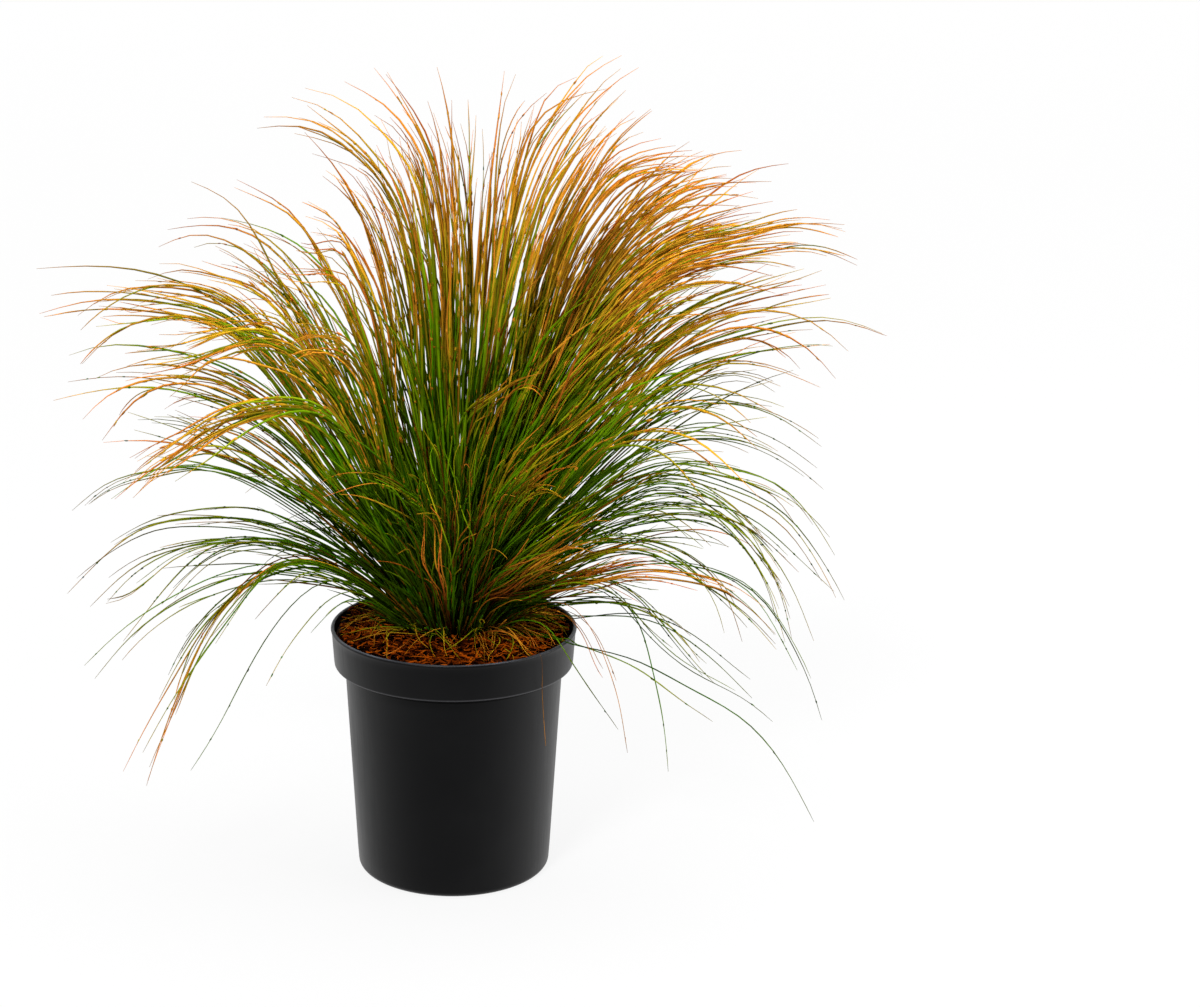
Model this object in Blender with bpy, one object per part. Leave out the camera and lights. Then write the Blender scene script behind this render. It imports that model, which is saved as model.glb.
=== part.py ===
"""Potted mexican feather grass: a moulded round pot, its potting mix and coir litter,
the grass crown, and the tufts of leaves and feathery seed heads that arch out of it.

Metres, +Z up.  The origin is on the pot's axis at the underside of its base.
Azimuths are counterclockwise from +X, seen from above; the front of the plant is -Y.
"""
import math
import random

import bmesh
import bpy
from mathutils import Vector

# ---------------------------------------------------------------- driving dimensions
MM = 0.001
GAP = 0.0003                     # clearance between pieces that rest on each other

POT_HEIGHT = 94.2 * MM
POT_BASE_R = 35.9 * MM           # outer radius just above the rounded foot
POT_WAIST_R = 40.4 * MM          # outer radius just under the collar
POT_RIM_R = 45.5 * MM
COLLAR_BOTTOM_R = 44.3 * MM
COLLAR_BOTTOM_Z = 80.0 * MM
FOOT_ROUND = 2.6 * MM
BODY_WALL = 1.0 * MM
COLLAR_WALL = 1.2 * MM
BASE_WALL = 1.2 * MM
POT_SIDES = 40
DRAIN_COUNT = 6
DRAIN_R = 3.2 * MM
DRAIN_RING_R = 24.0 * MM

MIX_TOP_Z = 88.0 * MM
MIX_SIDES = 32

LITTER_BOTTOM_Z = MIX_TOP_Z + GAP
LITTER_INNER_R = 21.2 * MM
LITTER_OUTER_R = 43.3 * MM
LITTER_BASE_Z = 90.6 * MM        # height of the litter beside the crown
LITTER_RISE = 1.1 * MM           # how far it rises towards the pot's wall
LITTER_HEAP = 1.3 * MM           # extra heap at the back and the left
LITTER_ROUGH = 0.35 * MM
LITTER_SIDES = 32

CROWN_R = 20.5 * MM
CROWN_RISE = 9.0 * MM
CROWN_BOTTOM_Z = MIX_TOP_Z + GAP
CROWN_SIDES = 24

TUFT_SIDES = 6
TUFT_RINGS = 9
TUFT_BASE_HALF = 1.55 * MM       # half width of a tuft where it leaves the crown
TUFT_TIP_HALF = 0.35 * MM
TUFT_CLEAR = 0.5 * MM            # above the crown

# where on the crown each ring of tufts is rooted, and how thick its tufts grow
ROOT_RINGS = {"upright": 3.5 * MM, "upper": 8.5 * MM, "middle": 13.5 * MM, "lower": 18.2 * MM}

# name, root ring, azimuth, launch angle from the vertical, reach of the tip from the axis,
# height of the tip, angle of the tip from the vertical, greatest half width (mm and degrees)
TUFTS = [
    ("upright_tuft_right", "upright", 20, 4, 50, 294, 38, 2.2),
    ("upright_tuft_back", "upright", 110, 3, 22, 296, 16, 2.0),
    ("upright_tuft_left", "upright", 200, 3, 28, 299.6, 30, 2.1),
    ("upright_tuft_front", "upright", 290, 4, 26, 268, 34, 2.0),

    ("upper_tuft_right", "upper", 0, 9, 70, 287, 40, 3.2),
    ("upper_spray_back_right", "upper", 40, 12, 88, 296, 42, 3.2),
    ("upper_tuft_back_1", "upper", 80, 10, 84, 272, 58, 3.2),
    ("upper_tuft_back_2", "upper", 120, 8, 72, 276, 56, 3.2),
    ("upper_tuft_left_1", "upper", 160, 7, 58, 285, 58, 3.0),
    ("upper_tuft_left_2", "upper", 200, 8, 70, 281, 74, 3.0),
    ("upper_tuft_front_left", "upper", 240, 6, 66, 238, 80, 3.0),
    ("upper_tuft_front", "upper", 280, 6, 58, 246, 80, 3.0),
    ("upper_tuft_front_right", "upper", 320, 10, 80, 258, 72, 3.2),

    ("seed_spray_right", "middle", 0, 27, 146, 232, 104, 3.6),
    ("seed_spray_back_right", "middle", 30, 25, 140, 250, 88, 3.6),
    ("middle_tuft_back_1", "middle", 60, 24, 132, 232, 96, 3.4),
    ("middle_tuft_back_2", "middle", 90, 24, 126, 212, 102, 3.4),
    ("middle_tuft_back_3", "middle", 120, 22, 122, 222, 98, 3.4),
    ("seed_spray_back_left", "middle", 150, 19, 104, 251, 84, 3.2),
    ("seed_spray_left", "middle", 180, 27, 149, 212, 100, 3.4),
    ("middle_tuft_left", "middle", 210, 20, 106, 232, 92, 3.2),
    ("middle_tuft_front_left", "middle", 240, 18, 88, 204, 96, 3.0),
    ("middle_tuft_front", "middle", 270, 16, 80, 204, 98, 3.0),
    ("middle_tuft_front_right", "middle", 300, 18, 92, 208, 96, 3.0),
    ("seed_spray_front_right", "middle", 330, 24, 128, 238, 96, 3.4),

    ("lower_tuft_right_1", "lower", 0, 41, 156, 204, 96, 3.2),
    ("lower_tuft_right_2", "lower", 18, 54, 140, 121, 138, 2.8),
    ("lower_tuft_right_3", "lower", 36, 47, 148, 162, 116, 3.0),
    ("lower_tuft_back_1", "lower", 54, 52, 140, 118, 134, 3.0),
    ("lower_tuft_back_2", "lower", 72, 48, 134, 142, 120, 3.0),
    ("lower_tuft_back_3", "lower", 90, 52, 124, 96, 142, 3.0),
    ("lower_tuft_back_4", "lower", 108, 48, 132, 136, 122, 3.0),
    ("lower_tuft_back_5", "lower", 126, 52, 136, 108, 136, 3.0),
    ("lower_tuft_left_1", "lower", 144, 50, 142, 100, 138, 2.8),
    ("lower_tuft_left_2", "lower", 162, 44, 152, 176, 110, 3.2),
    ("lower_tuft_left_3", "lower", 180, 52, 138, 113, 132, 2.8),
    ("hanging_spray_left", "lower", 198, 52, 115, 44, 154, 2.0),
    ("hanging_tuft_left", "lower", 216, 54, 114, 66, 150, 1.8),
    ("hanging_tuft_front_left", "lower", 234, 50, 88, 96, 148, 1.6),
    ("lower_tuft_front_1", "lower", 252, 30, 86, 178, 100, 2.8),
    ("lower_tuft_front_2", "lower", 270, 30, 92, 180, 100, 2.8),
    ("lower_tuft_front_3", "lower", 288, 30, 90, 180, 100, 2.8),
    ("hanging_tuft_front_right", "lower", 306, 52, 84, 70, 156, 1.6),
    ("lower_tuft_right_4", "lower", 324, 38, 134, 186, 104, 3.0),
    ("hanging_strand_right", "lower", 342, 56, 138, 28, 148, 1.8),
]

# dead leaves lying on the litter: first and last azimuth, inner and outer radius
THATCH = {
    "dead_leaf_thatch_right": (-62.0, 22.0, 25.5 * MM, 41.8 * MM),
    "dead_leaf_thatch_left": (158.0, 214.0, 27.0 * MM, 41.5 * MM),
}
THATCH_THICK = 1.3 * MM

# one dead leaf that hangs over the rim: azimuth, radius and height along it
DEAD_LEAF_AZ = -52.0
DEAD_LEAF_PATH = [(44.2 * MM, 95.2 * MM), (46.6 * MM, 95.3 * MM), (48.2 * MM, 92.4 * MM),
                  (48.4 * MM, 84.0 * MM), (47.2 * MM, 72.0 * MM), (45.6 * MM, 62.0 * MM)]
DEAD_LEAF_HALF = 0.45 * MM


# ---------------------------------------------------------------- helpers
for old in list(bpy.data.objects):
    bpy.data.objects.remove(old)


def material(name, colour, roughness):
    mat = bpy.data.materials.new(name)
    mat.use_nodes = True
    shader = mat.node_tree.nodes["Principled BSDF"]
    shader.inputs["Base Color"].default_value = (*colour, 1.0)
    shader.inputs["Roughness"].default_value = roughness
    shader.inputs["Metallic"].default_value = 0.0
    return mat


def add_object(name, bm, mat, sharp_angle=40.0):
    bmesh.ops.recalc_face_normals(bm, faces=bm.faces)
    mesh = bpy.data.meshes.new(name)
    bm.to_mesh(mesh)
    bm.free()
    mesh.materials.append(mat)
    mesh.shade_smooth()
    mesh.set_sharp_from_angle(angle=math.radians(sharp_angle))
    obj = bpy.data.objects.new(name, mesh)
    bpy.context.scene.collection.objects.link(obj)
    return obj


def bridge(bm, lower, upper):
    n = len(lower)
    for i in range(n):
        j = (i + 1) % n
        bm.faces.new((lower[i], lower[j], upper[j], upper[i]))


def ring(bm, radius, z, sides, phase=0.0):
    return [bm.verts.new((radius * math.cos(phase + 2 * math.pi * i / sides),
                          radius * math.sin(phase + 2 * math.pi * i / sides), z))
            for i in range(sides)]


def fan(bm, loop, z):
    pole = bm.verts.new((0.0, 0.0, z))
    n = len(loop)
    for i in range(n):
        bm.faces.new((loop[i], loop[(i + 1) % n], pole))


def turned(profile, sides, bottom_z, top_z):
    """A closed turned body: the profile runs from its bottom pole to its top pole."""
    bm = bmesh.new()
    loops = [ring(bm, r, z, sides) for r, z in profile]
    for a, b in zip(loops, loops[1:]):
        bridge(bm, a, b)
    fan(bm, loops[0], bottom_z)
    fan(bm, loops[-1], top_z)
    return bm


def outward(azimuth):
    return Vector((math.cos(azimuth), math.sin(azimuth), 0.0))


def leaning(azimuth, angle):
    """Unit vector at an angle from the vertical, leaning towards an azimuth."""
    return outward(azimuth) * math.sin(angle) + Vector((0, 0, math.cos(angle)))


# ---------------------------------------------------------------- pot
def waist_radius(z):
    return POT_BASE_R + (POT_WAIST_R - POT_BASE_R) * z / COLLAR_BOTTOM_Z


def collar_radius(z):
    t = (z - COLLAR_BOTTOM_Z) / (POT_HEIGHT - COLLAR_BOTTOM_Z)
    return COLLAR_BOTTOM_R + (POT_RIM_R - COLLAR_BOTTOM_R) * t


def build_pot():
    profile = []
    for step in range(4):                                   # rounded foot
        a = math.radians(90.0 * step / 3)
        z = FOOT_ROUND * (1 - math.cos(a))
        profile.append((waist_radius(z) - FOOT_ROUND * (1 - math.sin(a)), z))
    profile += [
        (POT_WAIST_R, COLLAR_BOTTOM_Z),
        (COLLAR_BOTTOM_R, COLLAR_BOTTOM_Z),
        (collar_radius(POT_HEIGHT - 0.4 * MM), POT_HEIGHT - 0.4 * MM),
        (POT_RIM_R - 0.4 * MM, POT_HEIGHT),
        (POT_RIM_R - COLLAR_WALL, POT_HEIGHT),
    ]
    ledge_z = COLLAR_BOTTOM_Z + COLLAR_WALL
    profile += [
        (collar_radius(ledge_z) - COLLAR_WALL, ledge_z),
        (POT_WAIST_R - BODY_WALL, ledge_z),
        (waist_radius(FOOT_ROUND) - BODY_WALL, FOOT_ROUND),
        (waist_radius(BASE_WALL) - BODY_WALL - 1.2 * MM, BASE_WALL),
    ]
    bm = turned(profile, POT_SIDES, 0.0, BASE_WALL)
    pot = add_object("pot", bm, POT_MAT, 35.0)

    cut = bmesh.new()
    for k in range(DRAIN_COUNT):
        a = 2 * math.pi * (k + 0.5) / DRAIN_COUNT
        centre = outward(a) * DRAIN_RING_R
        low = [cut.verts.new((centre.x + DRAIN_R * math.cos(2 * math.pi * i / 8),
                              centre.y + DRAIN_R * math.sin(2 * math.pi * i / 8), -2 * MM))
               for i in range(8)]
        high = [cut.verts.new((v.co.x, v.co.y, BASE_WALL + 2 * MM)) for v in low]
        bridge(cut, low, high)
        cut.faces.new(list(reversed(low)))
        cut.faces.new(high)
    cutter = add_object("drain_hole_cutter", cut, POT_MAT)
    cutter.hide_render = True
    cutter.display_type = "WIRE"
    hole = pot.modifiers.new("drain_holes", "BOOLEAN")
    hole.operation = "DIFFERENCE"
    hole.solver = "EXACT"
    hole.object = cutter
    return pot


# ---------------------------------------------------------------- potting mix, litter, crown
def build_mix():
    bottom = BASE_WALL + GAP
    step_low = COLLAR_BOTTOM_Z + COLLAR_WALL + GAP
    clear = 1.6 * GAP
    profile = [
        (waist_radius(bottom) - BODY_WALL - 1.2 * MM - clear, bottom),
        (waist_radius(FOOT_ROUND) - BODY_WALL - clear, FOOT_ROUND + 0.4 * MM),
        (POT_WAIST_R - BODY_WALL - clear, step_low),
        (collar_radius(step_low) - COLLAR_WALL - clear, step_low),
        (collar_radius(MIX_TOP_Z) - COLLAR_WALL - clear, MIX_TOP_Z),
    ]
    return add_object("potting_mix", turned(profile, MIX_SIDES, bottom, MIX_TOP_Z), MIX_MAT)


def litter_top(radius, azimuth):
    across = (radius - LITTER_INNER_R) / (LITTER_OUTER_R - LITTER_INNER_R)
    heap = 0.5 + 0.5 * math.cos(azimuth - math.radians(140.0))
    return LITTER_BASE_Z + (LITTER_RISE + LITTER_HEAP * heap) * max(0.0, across)


def build_litter():
    rng = random.Random(11)
    bm = bmesh.new()
    bands = 4
    grid = []
    for b in range(bands + 1):
        r = LITTER_INNER_R + (LITTER_OUTER_R - LITTER_INNER_R) * b / bands
        row = []
        for i in range(LITTER_SIDES):
            a = 2 * math.pi * i / LITTER_SIDES
            z = litter_top(r, a) - rng.uniform(0.0, LITTER_ROUGH)
            row.append(bm.verts.new((r * math.cos(a), r * math.sin(a), z)))
        grid.append(row)
    under_in = ring(bm, LITTER_INNER_R, LITTER_BOTTOM_Z, LITTER_SIDES)
    under_out = ring(bm, LITTER_OUTER_R, LITTER_BOTTOM_Z, LITTER_SIDES)
    for a, b in zip(grid, grid[1:]):
        bridge(bm, a, b)
    bridge(bm, grid[-1], under_out)
    bridge(bm, under_out, under_in)
    bridge(bm, under_in, grid[0])
    return add_object("coir_litter", bm, LITTER_MAT)


def crown_height(radius):
    return CROWN_BOTTOM_Z + CROWN_RISE * math.sqrt(max(0.0, 1 - (radius / CROWN_R) ** 2))


def crown_normal_angle(radius):
    rise = crown_height(radius) - CROWN_BOTTOM_Z
    return math.atan2(radius / CROWN_R ** 2, rise / CROWN_RISE ** 2)


def build_crown():
    steps = 5
    profile = []
    for s in range(steps):
        a = math.radians(90.0 * s / steps)
        profile.append((CROWN_R * math.cos(a), CROWN_BOTTOM_Z + CROWN_RISE * math.sin(a)))
    top = CROWN_BOTTOM_Z + CROWN_RISE
    return add_object("crown", turned(profile, CROWN_SIDES, CROWN_BOTTOM_Z, top), CROWN_MAT)


# ---------------------------------------------------------------- tufts
def tuft_axis(root_r, azimuth, launch, reach, height, end_angle):
    """Four control points of the arching centre line, rooted just above the crown."""
    normal = leaning(azimuth, crown_normal_angle(root_r))
    start_dir = leaning(azimuth, launch)
    lift = TUFT_CLEAR + TUFT_BASE_HALF * abs(math.sin(launch - crown_normal_angle(root_r)))
    root = outward(azimuth) * root_r + Vector((0, 0, crown_height(root_r))) + normal * lift
    tip = outward(azimuth) * reach + Vector((0, 0, height))
    chord = (tip - root).length
    return (root, root + start_dir * chord * 0.44,
            tip - leaning(azimuth, end_angle) * chord * 0.36, tip)


def bezier(points, t):
    a, b, c, d = points
    u = 1 - t
    return a * u ** 3 + b * (3 * u * u * t) + c * (3 * u * t * t) + d * t ** 3


def bezier_direction(points, t):
    a, b, c, d = points
    u = 1 - t
    return ((b - a) * (3 * u * u) + (c - b) * (6 * u * t) + (d - c) * (3 * t * t)).normalized()


def half_width(t, greatest):
    """Tufts swell out of the crown to their fullest a third of the way, then thin to a tip."""
    if t < 0.34:
        s = t / 0.34
        return TUFT_BASE_HALF + (greatest - TUFT_BASE_HALF) * s * s * (3 - 2 * s)
    s = (t - 0.34) / 0.66
    return TUFT_TIP_HALF + (greatest - TUFT_TIP_HALF) * (1 - s) ** 0.8


def swept(points_at, direction_at, half_at, side, sides, rings):
    """A closed tapering body swept along a line that lies in one upright plane."""
    bm = bmesh.new()
    loops = []
    for k in range(rings + 1):
        t = k / rings
        centre, forward = points_at(t), direction_at(t)
        across = forward.cross(side).normalized()
        w = half_at(t)
        loops.append([bm.verts.new(centre + side * (w * math.cos(2 * math.pi * i / sides))
                                   + across * (w * math.sin(2 * math.pi * i / sides)))
                      for i in range(sides)])
    for a, b in zip(loops, loops[1:]):
        bridge(bm, a, b)
    bm.faces.new(loops[0])
    bm.faces.new(loops[-1])
    return bm


def build_tuft(name, ring_name, az, launch, reach, height, end_angle, greatest):
    azimuth = math.radians(az)
    points = tuft_axis(ROOT_RINGS[ring_name], azimuth, math.radians(launch), reach * MM,
                       height * MM, math.radians(end_angle))
    side = Vector((-math.sin(azimuth), math.cos(azimuth), 0.0))
    bm = swept(lambda t: bezier(points, t), lambda t: bezier_direction(points, t),
               lambda t: half_width(t, greatest * MM), side, TUFT_SIDES, TUFT_RINGS)
    mat = SPRAY_MAT if "spray" in name else LEAF_MAT
    return add_object(name, bm, mat, 60.0)


# ---------------------------------------------------------------- dead leaves
def build_thatch(name, first, last, inner, outer):
    bm = bmesh.new()
    cols, rows = 8, 3
    top, low = [], []
    for i in range(cols + 1):
        a = math.radians(first + (last - first) * i / cols)
        up_row, low_row = [], []
        for j in range(rows + 1):
            r = inner + (outer - inner) * j / rows
            base = litter_top(r, a) + 0.45 * MM
            edge = 0.45 if i in (0, cols) or j in (0, rows) else 1.0
            p = outward(a) * r
            low_row.append(bm.verts.new((p.x, p.y, base)))
            up_row.append(bm.verts.new((p.x, p.y, base + THATCH_THICK * edge)))
        top.append(up_row)
        low.append(low_row)
    for i in range(cols):
        for j in range(rows):
            bm.faces.new((top[i][j], top[i][j + 1], top[i + 1][j + 1], top[i + 1][j]))
            bm.faces.new((low[i][j], low[i + 1][j], low[i + 1][j + 1], low[i][j + 1]))
    for i in range(cols):
        bm.faces.new((top[i][0], top[i + 1][0], low[i + 1][0], low[i][0]))
        bm.faces.new((top[i][rows], low[i][rows], low[i + 1][rows], top[i + 1][rows]))
    for j in range(rows):
        bm.faces.new((top[0][j], low[0][j], low[0][j + 1], top[0][j + 1]))
        bm.faces.new((top[cols][j], top[cols][j + 1], low[cols][j + 1], low[cols][j]))
    return add_object(name, bm, DEAD_MAT)


def build_dead_leaf():
    azimuth = math.radians(DEAD_LEAF_AZ)
    path = [outward(azimuth) * r + Vector((0, 0, z)) for r, z in DEAD_LEAF_PATH]
    spans = len(path) - 1

    def at(t):
        f = min(t * spans, spans - 1e-6)
        k = int(f)
        u = f - k
        p0, p1 = path[max(k - 1, 0)], path[k]
        p2, p3 = path[k + 1], path[min(k + 2, spans)]
        return 0.5 * ((2 * p1) + (p2 - p0) * u + (2 * p0 - 5 * p1 + 4 * p2 - p3) * u * u
                      + (3 * p1 - p0 - 3 * p2 + p3) * u ** 3)

    def direction(t):
        return (at(min(1.0, t + 0.01)) - at(max(0.0, t - 0.01))).normalized()

    side = Vector((-math.sin(azimuth), math.cos(azimuth), 0.0))
    bm = swept(at, direction, lambda t: DEAD_LEAF_HALF * (1.0 - 0.6 * t), side, 4, 12)
    return add_object("hanging_dead_leaf", bm, DEAD_MAT, 60.0)


# ---------------------------------------------------------------- build
POT_MAT = material("black_plastic", (0.012, 0.013, 0.014), 0.45)
MIX_MAT = material("potting_mix", (0.045, 0.022, 0.010), 0.95)
LITTER_MAT = material("coir_litter", (0.210, 0.075, 0.020), 0.90)
CROWN_MAT = material("crown_green", (0.050, 0.085, 0.012), 0.75)
LEAF_MAT = material("leaf_green", (0.090, 0.170, 0.020), 0.60)
SPRAY_MAT = material("seed_head_orange", (0.470, 0.190, 0.040), 0.65)
DEAD_MAT = material("dead_leaf_tan", (0.420, 0.220, 0.060), 0.80)

build_pot()
build_mix()
build_litter()
build_crown()
for spec in TUFTS:
    build_tuft(*spec)
for thatch_name, span in THATCH.items():
    build_thatch(thatch_name, *span)
build_dead_leaf()
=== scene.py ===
import math

import bmesh
import bpy
import numpy as np
from mathutils import Matrix, Vector


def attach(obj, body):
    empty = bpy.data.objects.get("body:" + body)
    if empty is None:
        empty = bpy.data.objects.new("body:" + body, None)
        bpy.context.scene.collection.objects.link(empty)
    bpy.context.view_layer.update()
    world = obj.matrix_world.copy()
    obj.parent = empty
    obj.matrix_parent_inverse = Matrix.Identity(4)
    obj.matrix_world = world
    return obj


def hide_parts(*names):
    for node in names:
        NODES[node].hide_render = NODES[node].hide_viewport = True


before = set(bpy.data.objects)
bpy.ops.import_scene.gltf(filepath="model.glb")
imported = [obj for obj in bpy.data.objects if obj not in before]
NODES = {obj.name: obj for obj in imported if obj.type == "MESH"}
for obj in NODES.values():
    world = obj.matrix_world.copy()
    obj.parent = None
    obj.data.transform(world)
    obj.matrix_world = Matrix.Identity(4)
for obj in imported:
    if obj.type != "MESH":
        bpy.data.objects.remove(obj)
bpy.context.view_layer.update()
SCENE = bpy.context.scene
MM = 0.001


# =====================================================================================
# Camera, floor and light
# =====================================================================================
POT_RIM_R = 45.5 * MM
CAM_DISTANCE = 21.9085 * POT_RIM_R
CAM_PITCH = math.radians(16.4818)
CAM_AIM_Z = 3.09767 * POT_RIM_R
FOCAL_PX = 2720.22                # at a frame 1200 pixels wide
POT_AXIS_PX = 454.0               # the pot stands left of the frame's middle, at 600


def make_camera():
    cp, sp = math.cos(CAM_PITCH), math.sin(CAM_PITCH)
    forward, up, right = Vector((0, cp, -sp)), Vector((0, sp, cp)), Vector((1, 0, 0))
    place = Vector((0, 0, CAM_AIM_Z)) - forward * CAM_DISTANCE
    pan = math.atan((600.0 - POT_AXIS_PX) / FOCAL_PX)
    fwd = forward * math.cos(pan) + right * math.sin(pan)
    rgt = right * math.cos(pan) - forward * math.sin(pan)
    data = bpy.data.cameras.new("camera")
    data.sensor_fit = "HORIZONTAL"
    data.sensor_width = 36.0
    data.lens = 36.0 * FOCAL_PX / 1200.0
    data.clip_start, data.clip_end = 0.02, 60.0
    cam = bpy.data.objects.new("camera", data)
    SCENE.collection.objects.link(cam)
    rot = Matrix((rgt, up, -fwd)).transposed()
    cam.matrix_world = Matrix.Translation(place) @ rot.to_4x4()
    SCENE.camera = cam
    return cam


def tree_of(owner):
    owner.use_nodes = True
    nt = owner.node_tree
    nt.nodes.clear()
    return nt


def node(nt, kind, **inputs):
    n = nt.nodes.new(kind)
    for key, value in inputs.items():
        n.inputs[key.replace("_", " ")].default_value = value
    return n


def area_light(name, place, aim, size, power, colour=(1, 1, 1)):
    data = bpy.data.lights.new(name, "AREA")
    data.shape = "RECTANGLE"
    data.size, data.size_y = size
    data.energy = power
    data.color = colour
    light = bpy.data.objects.new(name, data)
    light.location = place
    light.rotation_euler = (Vector(aim) - Vector(place)).to_track_quat("-Z", "Y").to_euler()
    SCENE.collection.objects.link(light)


def make_studio():
    world = bpy.data.worlds.new("studio")
    SCENE.world = world
    nt = tree_of(world)
    out = nt.nodes.new("ShaderNodeOutputWorld")
    back = nt.nodes.new("ShaderNodeBackground")
    back.inputs["Strength"].default_value = 1.0
    coord = nt.nodes.new("ShaderNodeTexCoord")
    sep = nt.nodes.new("ShaderNodeSeparateXYZ")
    span = nt.nodes.new("ShaderNodeMapRange")
    span.inputs["From Min"].default_value = -0.85
    span.inputs["From Max"].default_value = -0.05
    ramp = nt.nodes.new("ShaderNodeValToRGB")
    ramp.color_ramp.elements[0].color = (0.20, 0.20, 0.20, 1)
    ramp.color_ramp.elements[1].color = (0.90, 0.90, 0.90, 1)
    nt.links.new(coord.outputs["Generated"], sep.inputs[0])
    nt.links.new(sep.outputs["Y"], span.inputs["Value"])
    nt.links.new(span.outputs["Result"], ramp.inputs["Fac"])
    nt.links.new(ramp.outputs["Color"], back.inputs["Color"])
    nt.links.new(back.outputs[0], out.inputs[0])

    area_light("key_softbox", (-0.42, -1.06, 1.30), (0, 0, 0.15), (0.32, 0.32), 38.0)
    area_light("top_softbox", (0.15, 0.20, 1.5), (0, 0, 0.1), (0.9, 0.8), 22.0)
    area_light("side_softbox", (1.0, -0.25, 0.28), (0, 0, 0.08), (0.8, 0.5), 15.0)

    bm = bmesh.new()
    half, n = 8.0, 24
    rows = [[bm.verts.new((-half + 2 * half * i / n, -half + 2 * half * j / n, 0.0))
             for i in range(n + 1)] for j in range(n + 1)]
    for j in range(n):
        for i in range(n):
            bm.faces.new((rows[j][i], rows[j][i + 1], rows[j + 1][i + 1], rows[j + 1][i]))
    mesh = bpy.data.meshes.new("studio_floor")
    bm.to_mesh(mesh)
    bm.free()
    mat = bpy.data.materials.new("studio_floor")
    nt = tree_of(mat)
    out = nt.nodes.new("ShaderNodeOutputMaterial")
    pbr = nt.nodes.new("ShaderNodeBsdfPrincipled")
    pbr.inputs["Roughness"].default_value = 0.85
    pbr.inputs["Specular IOR Level"].default_value = 0.2
    pbr.inputs["Emission Color"].default_value = (1, 1, 1, 1)
    noise = nt.nodes.new("ShaderNodeTexNoise")
    noise.inputs["Scale"].default_value = 3.0
    ramp = nt.nodes.new("ShaderNodeValToRGB")
    ramp.color_ramp.elements[0].color = (0.038, 0.038, 0.038, 1)
    ramp.color_ramp.elements[1].color = (0.042, 0.042, 0.042, 1)
    place = nt.nodes.new("ShaderNodeTexCoord")
    reach = nt.nodes.new("ShaderNodeVectorMath")
    reach.operation = "LENGTH"
    nt.links.new(place.outputs["Object"], reach.inputs[0])
    # the floor glows a little more where less of the light reaches it, by distance from the pot
    glow = ramp_node(nt, [(r / 4.0, (e, e, e)) for r, e in (
        (0.00, 0.866), (0.08, 0.866), (0.16, 0.866), (0.22, 0.867), (0.31, 0.868), (0.48, 0.878), (0.71, 0.885),
        (1.00, 0.894), (1.42, 0.908), (1.90, 0.917), (2.40, 0.923), (2.82, 0.925), (3.20, 0.926))],
        math_node(nt, "MULTIPLY", reach.outputs["Value"], 0.25))
    nt.links.new(glow, pbr.inputs["Emission Strength"])
    nt.links.new(place.outputs["Object"], noise.inputs["Vector"])
    nt.links.new(noise.outputs["Fac"], ramp.inputs["Fac"])
    nt.links.new(ramp.outputs["Color"], pbr.inputs["Base Color"])
    nt.links.new(pbr.outputs[0], out.inputs[0])
    mesh.materials.append(mat)
    floor = bpy.data.objects.new("studio_floor", mesh)
    SCENE.collection.objects.link(floor)
    SCENE.view_settings.view_transform = "Standard"


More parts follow.
